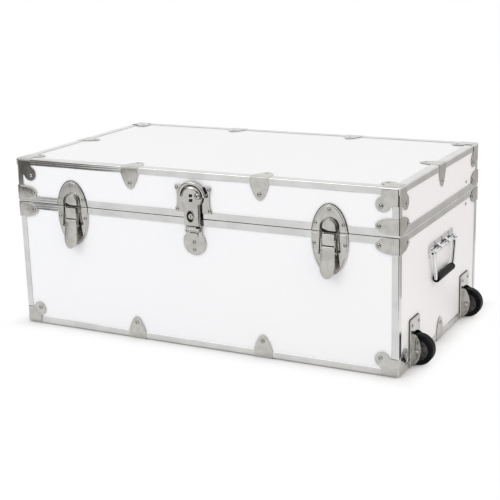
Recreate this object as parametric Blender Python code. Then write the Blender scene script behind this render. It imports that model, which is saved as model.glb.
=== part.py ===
"""A storage trunk: plywood panels faced in white laminate, bound with metal on every edge.

The lid turns on two back hinges and is held by a folding stay. Two draw latches and a hasp lock
close the front. Each end has a drop handle, and the right end has two tow wheels.
Metres, +Z up, +X to the right end, the front faces -Y. The origin is on the floor under the middle of
the case, and the heights below are measured from the underside of the bottom panel.
"""

import math

import bmesh
import bpy
from mathutils import Matrix, Vector

MM = 0.001

# Case
LENGTH = 812.8 * MM
DEPTH = 457.2 * MM
HEIGHT = 342.9 * MM
LID_TALL = 87.9 * MM
RIM = HEIGHT - LID_TALL  # height of the split between the base and the lid
PANEL = 9.5 * MM

# Fits
SEAT = 0.3 * MM  # air between two pieces that are fastened together
RUN = 0.4 * MM  # air between two pieces that move past each other
LAP = 0.5 * MM  # how far two shapes of one piece run into each other

# Layers of metal over a panel's face, each seated on the one before
SHEET = 1.2 * MM
BINDING_OUT = SEAT + 1.0 * MM
RIM_OUT = SEAT + SHEET
CLIP_OUT = 2.0 * MM
CAP_IN = BINDING_OUT + SEAT
CAP_OUT = CAP_IN + SHEET
PLATE_IN = RIM_OUT + SEAT
PLATE_OUT = PLATE_IN + SHEET

# Edge bindings and rims
POST_LEG = 12.2 * MM
TOP_DROP = 12 * MM
BOTTOM_RISE = 12 * MM
FLAT_LEG = 16 * MM
RIM_BAND = 13.5 * MM
TONGUE_RISE = 5 * MM
SPLIT = SEAT / 2  # each rim stops this far from the split
CLIP_HALF = 19.3 * MM
CLIP_REACH = 43 * MM
CLIP_STRAIGHT = 14 * MM
CLIP_X = 0.171 * LENGTH

# Corner caps and rim clamps
CAP_SIDE = 0.366 * LID_TALL
CAP_LOBE = 0.435 * CAP_SIDE
CAP_LOBE_AT = 0.92 * CAP_SIDE
CAP_REACH = CAP_LOBE_AT + CAP_LOBE
CAP_ROUND = 2.6 * MM
CLAMP_TALL = 0.387 * LID_TALL
CLAMP_FLAT = 0.82 * CLAMP_TALL
CLAMP_TOP = 0.41 * CLAMP_TALL
CLAMP_TIP = 0.265 * CLAMP_TALL
CLAMP_TIP_ALONG = 1.03 * CLAMP_TALL
CLAMP_TIP_UP = 0.515 * CLAMP_TALL

# Draw latches
LATCH_X = 0.341 * LENGTH
LATCH_HALF = 36 * MM
LATCH_RISE = 0.58 * LID_TALL  # above the split
LATCH_FALL = 80 * MM  # below the split
LATCH_BODY = 14 * MM  # half the width of catch, knuckle and lever
CATCH_OUT = 7 * MM
CATCH_RISE = 0.49 * LATCH_RISE
SPLIT_AIR = 2 * MM  # raised blocks stop this far from the split
KNUCKLE_OUT = 5.5 * MM
KNUCKLE_AIR = 1.2 * MM
LEVER_PIVOT_OUT = 7.5 * MM
LEVER_PIVOT_FALL = 15 * MM
LEVER_BARREL = 3.8 * MM
LEVER_REACH = 68 * MM
LEVER_TIP_OUT = 12.5 * MM
LEVER_TIP_HALF = 12 * MM
LEVER_TIP = 3.4 * MM
LEVER_KNEE = 2.6 * MM  # half the lever's thickness at the bail's pins
BAIL_PIVOT_OUT = 3.4 * MM  # outwards from the lever's pivot
BAIL_PIVOT_FALL = 21 * MM  # below the lever's pivot
BAIL_HALF = 20 * MM
BAIL_STRAP = 2.5 * MM
BAIL_DEEP = 7 * MM
BAIL_RISE = CATCH_RISE + 5 * MM  # above the split
PIN = 1.5 * MM
EAR = 2 * MM

# Hasp lock
STRIKE_HALF = 39 * MM
STRIKE_LOW = 0.125 * LID_TALL
STRIKE_HIGH = 0.716 * LID_TALL
STRIKE_WAIST = 4 * MM
BULB_RISE = 0.478 * LID_TALL
BULB = 0.284 * LID_TALL
HOOD_IN = BULB + 1 * MM
HOOD_OUT = HOOD_IN + 4 * MM
HOOD_PROUD = 11 * MM
STRAP_HALF = 0.7 * BULB
HASP_IN = PLATE_OUT + 2 * SEAT
HASP_OUT = 13 * MM
HASP_PIVOT_OUT = 9.5 * MM
HASP_PIVOT_FALL = 21 * MM
HASP_BARREL = 3.5 * MM
HASP_BARREL_HALF = 10 * MM
HASP_EAR = 4 * MM
HASP_EAR_WALL = 1 * MM  # the ears stand this far beyond the barrel
HASP_FOOT = 3 * MM  # air between the barrel and the strap's foot
DISC_FALL = 47 * MM
KEY_RISE = 6 * MM
KEY_PLUG = 5 * MM
KEY_PROUD = 1 * MM

# End handles
HANDLE_Z = 0.736 * RIM
HANDLE_OUT = 8 * MM  # pivot line outside the end panel
HANDLE_HALF = 62 * MM  # pivot eyes from the middle
HANDLE_FOOT = 50 * MM  # legs from the middle at the grip
HANDLE_DROP = 55 * MM
HANDLE_WIRE = 3.5 * MM
HANDLE_CORNER = 5 * MM
HANDLE_EYE = 5.5 * MM
HANDLE_EYE_HALF = 4.5 * MM
HANDLE_PLATE = 1.5 * MM
SPINDLE = 2.5 * MM
BRACKET_EAR = 3 * MM
EAR_AIR = 1 * MM
EAR_WALL = 2 * MM
BRACKET_HALF = HANDLE_HALF + 10 * MM
BRACKET_HIGH = 18 * MM  # above the pivot line
BRACKET_LOW = 10 * MM  # below it
BRACKET_CORNER = 8 * MM
GRIP = 7.2 * MM
GRIP_EDGE = 1.5 * MM

# Tow wheels
WHEEL = 29.5 * MM
WHEEL_WIDTH = 22 * MM
WHEEL_LIFT = -0.7 * MM  # the wheel's lowest point from the case's underside
AXLE = 3 * MM
AXLE_OUT = 11.5 * MM
AXLE_HEAD = 4.6 * MM
WHEEL_AIR = 2 * MM
FORK_SHEET = 1.5 * MM
FORK_PLATE_OUT = 4.5 * MM
FORK_HALF = 25 * MM
FORK_TALL = 3 * WHEEL
FORK_CORNER = 3 * MM
CHEEK_OUT = AXLE_OUT + 8 * MM
CHEEK_TALL = 53 * MM
HEAD_TALL = 2 * MM
TREAD_SHOULDER = 4 * MM
HUB_DISH = 3 * MM
WHEEL_Y = DEPTH / 2 - CAP_REACH - 10 * MM - FORK_HALF

# Back hinges
HINGE_X = 0.3 * LENGTH
HINGE_OUT = 5.4 * MM
HINGE_BARREL = 3.2 * MM
HINGE_HALF = 25 * MM
HINGE_KNUCKLE = 10 * MM  # half the length of the middle knuckle
HINGE_LEAF = 35 * MM

# Lid stay on the right end
STAY_Y = 0.34 * DEPTH
STAY_RISE = 22.5 * MM
STAY_HALF = 6 * MM
STAY_BAR = 2 * MM
STAY_INSET = 3 * MM
STAY_RIVET = 2 * MM
STAY_HEAD = 3.6 * MM
STAY_PIN = 2.5 * MM
STAY_PIN_END = 1 * MM

# Sides worked out from the sizes above
END = LENGTH / 2
FACE = DEPTH / 2
BASE_TOP = RIM - SPLIT - SHEET - SEAT
LID_BOTTOM = RIM + SPLIT + SHEET + SEAT
HINGE_LINE = Vector((0, FACE + HINGE_OUT, RIM))

parts = bpy.data.collections.new("storage_trunk")


def clear_scene():
    for obj in list(bpy.data.objects):
        bpy.data.objects.remove(obj)
    bpy.context.scene.collection.children.link(parts)


def material(name, colour, roughness, metallic=0.0):
    made = bpy.data.materials.new(name)
    made.use_nodes = True
    shader = made.node_tree.nodes["Principled BSDF"]
    shader.inputs["Base Color"].default_value = (*colour, 1)
    shader.inputs["Roughness"].default_value = roughness
    shader.inputs["Metallic"].default_value = metallic
    return made


LAMINATE = material("white_laminate", (0.88, 0.89, 0.91), 0.35)
SATIN = material("satin_binding", (0.58, 0.58, 0.57), 0.45, 0.9)
NICKEL = material("nickel_plate", (0.56, 0.54, 0.5), 0.22, 1.0)
CHROME = material("chrome_wire", (0.75, 0.75, 0.76), 0.1, 1.0)
RUBBER = material("black_rubber", (0.012, 0.012, 0.013), 0.6)


def shape(bm):
    """An object holding the finished bmesh, with its faces turned outwards."""
    bmesh.ops.recalc_face_normals(bm, faces=bm.faces)
    mesh = bpy.data.meshes.new("shape")
    bm.to_mesh(mesh)
    bm.free()
    obj = bpy.data.objects.new("shape", mesh)
    parts.objects.link(obj)
    return obj


def block(low, high, rounding=0.0):
    bm = bmesh.new()
    bmesh.ops.create_cube(bm, size=1)
    low, high = Vector(low), Vector(high)
    bmesh.ops.scale(bm, vec=high - low, verts=bm.verts)
    bmesh.ops.translate(bm, vec=(low + high) / 2, verts=bm.verts)
    if rounding:
        bmesh.ops.bevel(bm, geom=bm.edges[:], offset=rounding, segments=2, profile=0.5, affect="EDGES")
    return shape(bm)


def along(axis, first, second, level):
    """A point from its place on one axis and its two places across it, in X, Y, Z order."""
    point = [first, second]
    point.insert("XYZ".index(axis), level)
    return point


def plate(axis, outline, low, high):
    """A flat outline across one axis, made solid between two levels on that axis."""
    bm = bmesh.new()
    rim = [bm.verts.new(along(axis, first, second, low)) for first, second in outline]
    made = bmesh.ops.extrude_face_region(bm, geom=[bm.faces.new(rim)])
    lift = Vector(along(axis, 0, 0, high - low))
    bmesh.ops.translate(bm, vec=lift, verts=[v for v in made["geom"] if isinstance(v, bmesh.types.BMVert)])
    bmesh.ops.remove_doubles(bm, verts=bm.verts, dist=SEAT / 100)
    return shape(bm)


def arc(centre, radius, start, end, steps=8):
    """Points on a round stretch, angles in degrees; the radius may be a pair for an oval."""
    wide, tall = radius if isinstance(radius, tuple) else (radius, radius)
    angles = [math.radians(start + (end - start) * i / steps) for i in range(steps + 1)]
    return [(centre[0] + wide * math.cos(a), centre[1] + tall * math.sin(a)) for a in angles]


def circle(centre, radius, sides):
    return arc(centre, radius, 0, 360 - 360 / sides, sides - 1)


def rod(axis, centre, radius, low, high, sides=16):
    return plate(axis, circle(centre, radius, sides), low, high)


def rounded_box(half_wide, low, high, corner, steps=3):
    """The outline of a rectangle with round corners, centred across."""
    points = []
    for side, level, start in ((1, low, -90), (1, high, 0), (-1, high, 90), (-1, low, 180)):
        inward = corner if level == low else -corner
        points += arc((side * (half_wide - corner), level + inward), corner, start, start + 90, steps)
    return points


def turned(section, centre, sides=24):
    """A section of (radius, place along Y) points turned about an axis along Y."""
    bm = bmesh.new()
    verts = [bm.verts.new((radius, y, 0)) for radius, y in section]
    ring = bm.faces.new(verts)
    bmesh.ops.spin(bm, geom=[ring, *ring.edges, *verts], axis=(0, 1, 0), cent=(0, 0, 0),
                   angle=math.tau, steps=sides, use_merge=True)
    bmesh.ops.delete(bm, geom=[f for f in bm.faces if len(f.verts) > 4], context="FACES_ONLY")
    bmesh.ops.translate(bm, vec=centre, verts=bm.verts)
    return shape(bm)


def wire(points, radius):
    """A round wire along a path, with flat ends."""
    curve = bpy.data.curves.new("wire", "CURVE")
    curve.dimensions = "3D"
    curve.bevel_depth = radius
    curve.bevel_resolution = 2
    curve.use_fill_caps = True
    path = curve.splines.new("POLY")
    path.points.add(len(points) - 1)
    for point, place in zip(path.points, points):
        point.co = (*place, 1)
    guide = bpy.data.objects.new("wire", curve)
    parts.objects.link(guide)
    mesh = evaluated_mesh(guide)
    bpy.data.objects.remove(guide)
    bm = bmesh.new()
    bm.from_mesh(mesh)
    bmesh.ops.remove_doubles(bm, verts=bm.verts, dist=SEAT / 100)
    return shape(bm)


def evaluated_mesh(obj):
    bpy.context.view_layer.update()
    graph = bpy.context.evaluated_depsgraph_get()
    return bpy.data.meshes.new_from_object(obj.evaluated_get(graph))


def combine(operation, target, tools):
    """Joins the tools to the target, or cuts them from it, and uses them up."""
    for tool in tools:
        boolean = target.modifiers.new(operation.lower(), "BOOLEAN")
        boolean.operation = operation
        boolean.solver = "EXACT"
        boolean.object = tool
    mesh = evaluated_mesh(target)
    target.modifiers.clear()
    target.data = mesh
    for tool in tools:
        bpy.data.objects.remove(tool)
    return target


def join(target, *tools):
    return combine("UNION", target, tools)


def cut(target, *tools):
    return combine("DIFFERENCE", target, tools)


def keep(target, tool):
    return combine("INTERSECT", target, [tool])


def moved(obj, matrix):
    """Another object with the same shape carried by a matrix, which may mirror it."""
    mesh = obj.data.copy()
    mesh.transform(matrix)
    if matrix.is_negative:
        mesh.flip_normals()
    copy = bpy.data.objects.new("shape", mesh)
    parts.objects.link(copy)
    return copy


def finish(name, obj, look, pivot=(0, 0, 0), parent=None):
    """Names a built shape as a piece, with its origin at the pivot, and hangs it on its parent."""
    mesh = obj.data
    mesh.transform(Matrix.Translation(-Vector(pivot)))
    mesh.shade_smooth()
    mesh.set_sharp_from_angle(angle=math.radians(35))
    mesh.materials.clear()
    mesh.materials.append(look)
    obj.name = mesh.name = name
    return hang(obj, pivot, parent)


def hang(obj, place, parent):
    obj.location = place
    if parent:
        obj.parent = parent
        bpy.context.view_layer.update()
        obj.matrix_parent_inverse = parent.matrix_world.inverted()
    return obj


def copies(name, obj, look, places):
    """One shape used at several places: each is (suffix, place, scale, parent)."""
    for suffix, place, scale, parent in places:
        copy = bpy.data.objects.new(f"{name}_{suffix}", obj.data)
        parts.objects.link(copy)
        copy.scale = scale
        hang(copy, place, parent)
    finish(name, obj, look)
    bpy.data.objects.remove(obj)


def empty(name, place):
    obj = bpy.data.objects.new(name, None)
    parts.objects.link(obj)
    obj.location = place
    bpy.context.view_layer.update()
    return obj


# Case panels
def wheel_slot(y):
    """The opening through the right end, and into the bottom's edge, that a wheel's pan passes."""
    half = WHEEL_WIDTH / 2 + WHEEL_AIR + FORK_SHEET + SEAT
    top = wheel_top() + FORK_SHEET + SEAT
    return block((END - 2 * PANEL, y - half, -PANEL), (END + PANEL, y + half, top))


def wheel_top():
    return WHEEL_LIFT + 2 * WHEEL + WHEEL_AIR


def stay_hole(z):
    return rod("X", (STAY_Y, z), STAY_RIVET + RUN, END - 2 * PANEL, END + PANEL)


def base_panels():
    inner_y = FACE - PANEL - SEAT
    inner_x = END - PANEL - SEAT
    for name, side in (("front", -1), ("back", 1)):
        near, far = sorted((side * FACE, side * (FACE - PANEL)))
        finish(f"base_{name}_panel", block((-END, near, 0), (END, far, BASE_TOP)), LAMINATE)
    left = block((-END, -inner_y, 0), (PANEL - END, inner_y, BASE_TOP))
    finish("base_left_panel", left, LAMINATE)
    right = block((END - PANEL, -inner_y, 0), (END, inner_y, BASE_TOP))
    cut(right, wheel_slot(-WHEEL_Y), wheel_slot(WHEEL_Y), stay_hole(RIM - STAY_RISE))
    finish("base_right_panel", right, LAMINATE)
    bottom = block((-inner_x, -inner_y, 0), (inner_x, inner_y, PANEL))
    cut(bottom, wheel_slot(-WHEEL_Y), wheel_slot(WHEEL_Y))
    finish("base_bottom_panel", bottom, LAMINATE)


def lid_panels(lid):
    inner_y = FACE - PANEL - SEAT
    top = HEIGHT - PANEL - SEAT
    cover = block((-END, -FACE, HEIGHT - PANEL), (END, FACE, HEIGHT))
    finish("lid_top_panel", cover, LAMINATE, HINGE_LINE, lid)
    for name, side in (("front", -1), ("back", 1)):
        near, far = sorted((side * FACE, side * (FACE - PANEL)))
        wall = block((-END, near, LID_BOTTOM), (END, far, top))
        finish(f"lid_{name}_panel", wall, LAMINATE, HINGE_LINE, lid)
    left = block((-END, -inner_y, LID_BOTTOM), (PANEL - END, inner_y, top))
    finish("lid_left_panel", left, LAMINATE, HINGE_LINE, lid)
    right = block((END - PANEL, -inner_y, LID_BOTTOM), (END, inner_y, top))
    cut(right, stay_hole(RIM + STAY_RISE))
    finish("lid_right_panel", right, LAMINATE, HINGE_LINE, lid)


# Rims at the split
def mitred_ring(section):
    """A section of (distance outside the panels, height) points carried round the four corners."""
    bm = bmesh.new()
    loops = []
    for sx, sy in ((1, 1), (-1, 1), (-1, -1), (1, -1)):
        loops.append([bm.verts.new((sx * (END + out), sy * (FACE + out), z)) for out, z in section])
    for near, far in zip(loops, loops[1:] + loops[:1]):
        for i in range(len(section)):
            bm.faces.new((near[i - 1], near[i], far[i], far[i - 1]))
    return shape(bm)


def rims(lid):
    tongue_out = -PANEL - RUN
    tongue_in = tongue_out - SHEET
    cap = RIM - SPLIT
    base = mitred_ring([
        (SEAT, RIM - RIM_BAND), (RIM_OUT, RIM - RIM_BAND), (RIM_OUT, cap), (tongue_out, cap),
        (tongue_out, RIM + TONGUE_RISE), (tongue_in, RIM + TONGUE_RISE), (tongue_in, RIM - RIM_BAND),
        (tongue_out, RIM - RIM_BAND), (tongue_out, cap - SHEET), (SEAT, cap - SHEET),
    ])
    finish("base_rim", base, SATIN)
    sole = RIM + SPLIT
    cover = mitred_ring([
        (-PANEL, sole), (RIM_OUT, sole), (RIM_OUT, RIM + RIM_BAND), (SEAT, RIM + RIM_BAND),
        (SEAT, sole + SHEET), (-PANEL, sole + SHEET),
    ])
    finish("lid_rim", cover, SATIN, HINGE_LINE, lid)


# Edge bindings with their clips
def clip():
    """A clip bent over a bottom edge that runs along X, with a pointed tongue on each face."""
    outline = [(CLIP_HALF, -CLIP_OUT)]
    steps = 10
    for i in range(steps + 1):
        x = CLIP_HALF * (1 - 2 * i / steps)
        bulge = 1 - (x / CLIP_HALF) ** 2
        outline.append((x, CLIP_STRAIGHT + (CLIP_REACH - CLIP_STRAIGHT) * bulge))
    outline.append((-CLIP_HALF, -CLIP_OUT))
    upright = plate("Y", outline, -CLIP_OUT, -SEAT)
    return join(upright, plate("Z", outline, -CLIP_OUT, -SEAT))


def clips(level, upside):
    """Six clips round the case's edges at a level: two on the front and back, one on each end."""
    pattern = clip()
    flip = Matrix.Diagonal((1, 1, upside, 1))
    made = []
    for turn, out, places in ((0, FACE, (-CLIP_X, CLIP_X)), (90, END, (0,)),
                              (180, FACE, (-CLIP_X, CLIP_X)), (270, END, (0,))):
        for place in places:
            to_edge = Matrix.Translation((place, -out, 0))
            turned_round = Matrix.Rotation(math.radians(turn), 4, "Z")
            made.append(moved(pattern, Matrix.Translation((0, 0, level)) @ turned_round @ to_edge @ flip))
    bpy.data.objects.remove(pattern)
    return made


def binding(low, high, closed, window_low, window_high):
    """A thin shell round the case with a window in each face, open on the side away from closed."""
    inner_low = low if closed == high else low + BINDING_OUT - SEAT
    inner_high = high if closed == low else high - BINDING_OUT + SEAT
    out_x, out_y = END + BINDING_OUT, FACE + BINDING_OUT
    shell = block((-out_x, -out_y, low), (out_x, out_y, high))
    open_low = inner_low - (PANEL if closed == high else 0)
    open_high = inner_high + (PANEL if closed == low else 0)
    core = block((-END - SEAT, -FACE - SEAT, open_low), (END + SEAT, FACE + SEAT, open_high))
    flat_x, flat_y = END - FLAT_LEG, FACE - FLAT_LEG
    flat = block((-flat_x, -flat_y, low - PANEL), (flat_x, flat_y, high + PANEL))
    long_side = block((POST_LEG - END, -DEPTH, window_low), (END - POST_LEG, DEPTH, window_high))
    short_side = block((-LENGTH, POST_LEG - FACE, window_low), (LENGTH, FACE - POST_LEG, window_high))
    return cut(shell, core, flat, long_side, short_side)


def edge_bindings(lid):
    base_high = RIM - RIM_BAND - SEAT
    base = binding(-BINDING_OUT, base_high, -BINDING_OUT, BOTTOM_RISE, RIM)
    join(base, *clips(0, 1))
    notch = WHEEL_WIDTH / 2 + WHEEL_AIR + FORK_SHEET
    for y in (-WHEEL_Y, WHEEL_Y):
        cut(base, block((END, y - notch, LAP), (END + PANEL, y + notch, BOTTOM_RISE + PANEL)))
    finish("base_edge_binding", base, SATIN)
    top = HEIGHT + BINDING_OUT
    cover = binding(RIM + RIM_BAND + SEAT, top, top, RIM, HEIGHT - TOP_DROP)
    join(cover, *clips(HEIGHT, -1))
    finish("lid_edge_binding", cover, SATIN, HINGE_LINE, lid)


# Corner caps and rim clamps
SIDES = {"front": -1, "back": 1, "left": -1, "right": 1}


def corner_cap():
    """The cap of the bottom front left corner, with the corner at the origin."""
    neck = CAP_SIDE - math.sqrt(2) * CAP_LOBE
    outline = [(-CAP_OUT, -CAP_OUT), (CAP_SIDE, -CAP_OUT), (CAP_SIDE, neck)]
    outline += arc((CAP_LOBE_AT, CAP_LOBE_AT), CAP_LOBE, -45, 135, 8)
    outline += [(neck, CAP_SIDE), (-CAP_OUT, CAP_SIDE)]
    faces = [plate(axis, outline, -CAP_OUT, -CAP_IN) for axis in "XYZ"]
    far = 2 * CAP_SIDE
    return keep(join(*faces), block([-CAP_OUT] * 3, [far] * 3, CAP_ROUND))


def corner_caps(lid):
    places = []
    for level, z, up, parent in (("bottom", 0, 1, None), ("top", HEIGHT, -1, lid)):
        for y_name in ("front", "back"):
            for x_name in ("left", "right"):
                sx, sy = SIDES[x_name], SIDES[y_name]
                place = (sx * END, sy * FACE, z)
                places.append((f"{level}_{y_name}_{x_name}", place, (-sx, -sy, up), parent))
    copies("corner_cap", corner_cap(), NICKEL, places)


def rim_clamp():
    """The clamp over the lid rim's front left corner, with the corner of the split at the origin."""
    outline = [(-PLATE_OUT, RUN), (CLAMP_FLAT, RUN)]
    outline += arc((CLAMP_TIP_ALONG, CLAMP_TIP_UP), CLAMP_TIP, -60, 60, 6)
    outline += [(CLAMP_TOP, CLAMP_TALL), (-PLATE_OUT, CLAMP_TALL)]
    faces = [plate(axis, outline, -PLATE_OUT, -PLATE_IN) for axis in "XY"]
    far = 2 * CLAMP_TALL
    return keep(join(*faces), block((-PLATE_OUT, -PLATE_OUT, -far), (far, far, far), CAP_ROUND))


def rim_clamps(lid):
    places = []
    for level, up, parent in (("base", -1, None), ("lid", 1, lid)):
        for y_name in ("front", "back"):
            for x_name in ("left", "right"):
                sx, sy = SIDES[x_name], SIDES[y_name]
                place = (sx * END, sy * FACE, RIM)
                places.append((f"{level}_{y_name}_{x_name}", place, (-sx, -sy, up), parent))
    copies("rim_clamp", rim_clamp(), NICKEL, places)


# Draw latches, built about the middle of the split on the front face
def out(distance):
    """The Y of a point this far in front of the case."""
    return -FACE - distance


def latch_oval(start_level, end_turn):
    """The part of a latch's oval plate above or below a level, as an outline."""
    middle = RIM + (LATCH_RISE - LATCH_FALL) / 2
    tall = (LATCH_RISE + LATCH_FALL) / 2
    start = math.degrees(math.asin((start_level - middle) / tall))
    return arc((0, middle), (LATCH_HALF, tall), start, end_turn - start, 14)


def catch_plate():
    oval = plate("Y", latch_oval(RIM + RUN, 180), out(PLATE_OUT), out(PLATE_IN))
    shoulder = RIM + CATCH_RISE - LATCH_BODY
    outline = [(-LATCH_BODY, RIM + SPLIT_AIR), (LATCH_BODY, RIM + SPLIT_AIR)]
    outline += arc((0, shoulder), LATCH_BODY, 0, 180)
    return join(oval, plate("Y", outline, out(CATCH_OUT), out(PLATE_OUT - LAP)))


def lever_pivot():
    return (out(LEVER_PIVOT_OUT), RIM - LEVER_PIVOT_FALL)


def bail_pivot():
    y, z = lever_pivot()
    return (y - BAIL_PIVOT_OUT, z - BAIL_PIVOT_FALL)


def ears(pivot, radius, inner, thick):
    """Two round-ended ears on a front plate, carrying a pin across the knuckle between them."""
    y, z = pivot
    outline = arc((y, z), radius, 90, 270)
    outline += [(out(PLATE_OUT - LAP), z - radius), (out(PLATE_OUT - LAP), z + radius)]
    made = [plate("X", outline, *sorted((side * inner, side * (inner + thick)))) for side in (-1, 1)]
    made.append(rod("X", pivot, PIN, -inner - thick, inner + thick, 12))
    return made


def latch_base():
    oval = plate("Y", latch_oval(RIM - RUN, -180), out(PLATE_OUT), out(PLATE_IN))
    foot = RIM - LEVER_PIVOT_FALL + LEVER_BARREL + KNUCKLE_AIR
    head = RIM - SPLIT_AIR
    knuckle = block((-LATCH_BODY, out(KNUCKLE_OUT), foot), (LATCH_BODY, out(PLATE_OUT - LAP), head))
    return join(oval, knuckle, *ears(lever_pivot(), LEVER_BARREL, LATCH_BODY + RUN, EAR))


def lever():
    y, z = lever_pivot()
    tip = z - LEVER_REACH
    knee_y, knee = bail_pivot()
    front = [(y - LEVER_BARREL, z), (knee_y - LEVER_KNEE, knee), (y - LEVER_TIP_OUT, tip)]
    back = [(y - LEVER_TIP_OUT + LEVER_TIP, tip), (knee_y + LEVER_KNEE, knee), (y + LEVER_BARREL / 2, z)]
    side = plate("X", front + back, -LATCH_BODY, LATCH_BODY)
    face = [(LATCH_BODY, z + LEVER_BARREL), (-LATCH_BODY, z + LEVER_BARREL)]
    face += arc((0, tip + LEVER_TIP_HALF), LEVER_TIP_HALF, 180, 360, 10)
    keep(side, plate("Y", face, y - DEPTH, y + DEPTH))
    join(side, rod("X", (y, z), LEVER_BARREL, -LATCH_BODY, LATCH_BODY),
         rod("X", bail_pivot(), PIN, -BAIL_HALF, BAIL_HALF, 12))
    return cut(side, rod("X", (y, z), PIN + SEAT, -BAIL_HALF, BAIL_HALF, 12))


def latch_bail():
    y, z = bail_pivot()
    shoulder = RIM + BAIL_RISE - BAIL_HALF
    foot = z - BAIL_DEEP / 2
    inner = BAIL_HALF - BAIL_STRAP
    outline = [(BAIL_HALF, foot), *arc((0, shoulder), BAIL_HALF, 0, 180, 12), (-BAIL_HALF, foot)]
    outline += [(-inner, foot), *arc((0, shoulder), inner, 180, 0, 12), (inner, foot)]
    strap = plate("Y", outline, y - BAIL_DEEP / 2, y + BAIL_DEEP / 2)
    return cut(strap, rod("X", (y, z), PIN + SEAT, -LATCH_HALF, LATCH_HALF, 12))


def latches(lid):
    for name, side in (("left", -1), ("right", 1)):
        shift = Matrix.Translation((side * LATCH_X, 0, 0))
        built = []
        for shape_of in (catch_plate, latch_base, lever, latch_bail):
            pattern = shape_of()
            built.append(moved(pattern, shift))
            bpy.data.objects.remove(pattern)
        catch, base, arm, bail = built
        finish(f"latch_{name}_catch_plate", catch, NICKEL, HINGE_LINE, lid)
        finish(f"latch_{name}_base_plate", base, NICKEL)
        arm_pivot = (side * LATCH_X, *lever_pivot())
        finish(f"latch_{name}_lever", arm, NICKEL, arm_pivot)
        finish(f"latch_{name}_bail", bail, NICKEL, (side * LATCH_X, *bail_pivot()), arm)


# Hasp lock
def strike_plate():
    low, high = RIM + STRIKE_LOW, RIM + STRIKE_HIGH
    middle, tall = (low + high) / 2, (high - low) / 2
    outline = []
    for side, turn in ((1, 1), (-1, -1)):
        for i in range(9):
            across = -1 + i / 4
            half = STRIKE_HALF - STRIKE_WAIST * (1 - across**2)
            outline.append((side * half, middle + turn * across * tall))
    base = plate("Y", outline, out(PLATE_OUT), out(PLATE_IN))
    centre = (0, RIM + BULB_RISE)
    hood = arc(centre, HOOD_OUT, 0, 180, 14) + arc(centre, HOOD_IN, 180, 0, 14)
    return join(base, plate("Y", hood, out(HOOD_PROUD), out(PLATE_OUT - LAP)))


def hasp_pivot():
    return (out(HASP_PIVOT_OUT), RIM - HASP_PIVOT_FALL)


def lock_base():
    neck = math.degrees(math.acos(STRAP_HALF / BULB))
    top = RIM - SPLIT_AIR
    outline = arc((0, RIM - DISC_FALL), BULB, neck, -180 - neck, 16)
    outline += [(-STRAP_HALF, top), (STRAP_HALF, top)]
    base = plate("Y", outline, out(PLATE_OUT), out(PLATE_IN))
    return join(base, *ears(hasp_pivot(), HASP_BARREL + HASP_EAR_WALL, HASP_BARREL_HALF + RUN, HASP_EAR))


def hasp():
    y, z = hasp_pivot()
    neck = math.degrees(math.acos(STRAP_HALF / BULB))
    foot = z + HASP_BARREL + HASP_FOOT
    outline = arc((0, RIM + BULB_RISE), BULB, -neck, 180 + neck, 18)
    outline += [(-STRAP_HALF, foot), (STRAP_HALF, foot)]
    body = plate("Y", outline, out(HASP_OUT), out(HASP_IN))
    web = block((-HASP_BARREL_HALF, y - HASP_BARREL, z), (HASP_BARREL_HALF, out(HASP_IN + LAP), foot + LAP))
    join(body, web, rod("X", (y, z), HASP_BARREL, -HASP_BARREL_HALF, HASP_BARREL_HALF))
    return cut(body, rod("X", (y, z), PIN + SEAT, -BULB, BULB, 12),
               rod("Y", (0, RIM + KEY_RISE), KEY_PLUG + SEAT, out(HASP_OUT + PANEL), out(0), 20))


def lock(lid):
    finish("lock_strike_plate", strike_plate(), NICKEL, HINGE_LINE, lid)
    finish("lock_base_plate", lock_base(), NICKEL)
    strap = finish("lock_hasp", hasp(), NICKEL, (0, *hasp_pivot()))
    plug = rod("Y", (0, RIM + KEY_RISE), KEY_PLUG, out(HASP_OUT + KEY_PROUD), out(HASP_IN + LAP), 20)
    finish("lock_key_plug", plug, NICKEL, (0, out(HASP_OUT), RIM + KEY_RISE), strap)


# End handles, built on the right end
def handle_bracket():
    face = END + SEAT
    outline = rounded_box(BRACKET_HALF, HANDLE_Z - BRACKET_LOW, HANDLE_Z + BRACKET_HIGH, BRACKET_CORNER)
    bracket = plate("X", outline, face, face + HANDLE_PLATE)
    pivot = END + HANDLE_OUT
    air = HANDLE_EYE_HALF + EAR_AIR
    radius = SPINDLE + EAR_WALL
    root = face + HANDLE_PLATE - LAP
    outline = arc((pivot, HANDLE_Z), radius, -90, 90, 8)
    outline += [(root, HANDLE_Z + radius), (root, HANDLE_Z - radius)]
    tools = []
    for middle in (-HANDLE_HALF, HANDLE_HALF):
        for near in (middle - air - BRACKET_EAR, middle + air):
            tools.append(plate("Y", outline, near, near + BRACKET_EAR))
    reach = HANDLE_HALF + air + BRACKET_EAR
    tools.append(rod("Y", (pivot, HANDLE_Z), SPINDLE, -reach, reach, 14))
    return join(bracket, *tools)


def handle_path():
    """The bail's centre line: down one leg, which leans in to the grip, across and up the other."""
    low = HANDLE_Z - HANDLE_DROP
    corner = HANDLE_FOOT - HANDLE_CORNER
    flat = [(-HANDLE_HALF, HANDLE_Z)]
    flat += arc((-corner, low + HANDLE_CORNER), HANDLE_CORNER, 180, 270, 5)
    flat += arc((corner, low + HANDLE_CORNER), HANDLE_CORNER, 270, 360, 5)
    flat.append((HANDLE_HALF, HANDLE_Z))
    return [(END + HANDLE_OUT, y, z) for y, z in flat]


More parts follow.
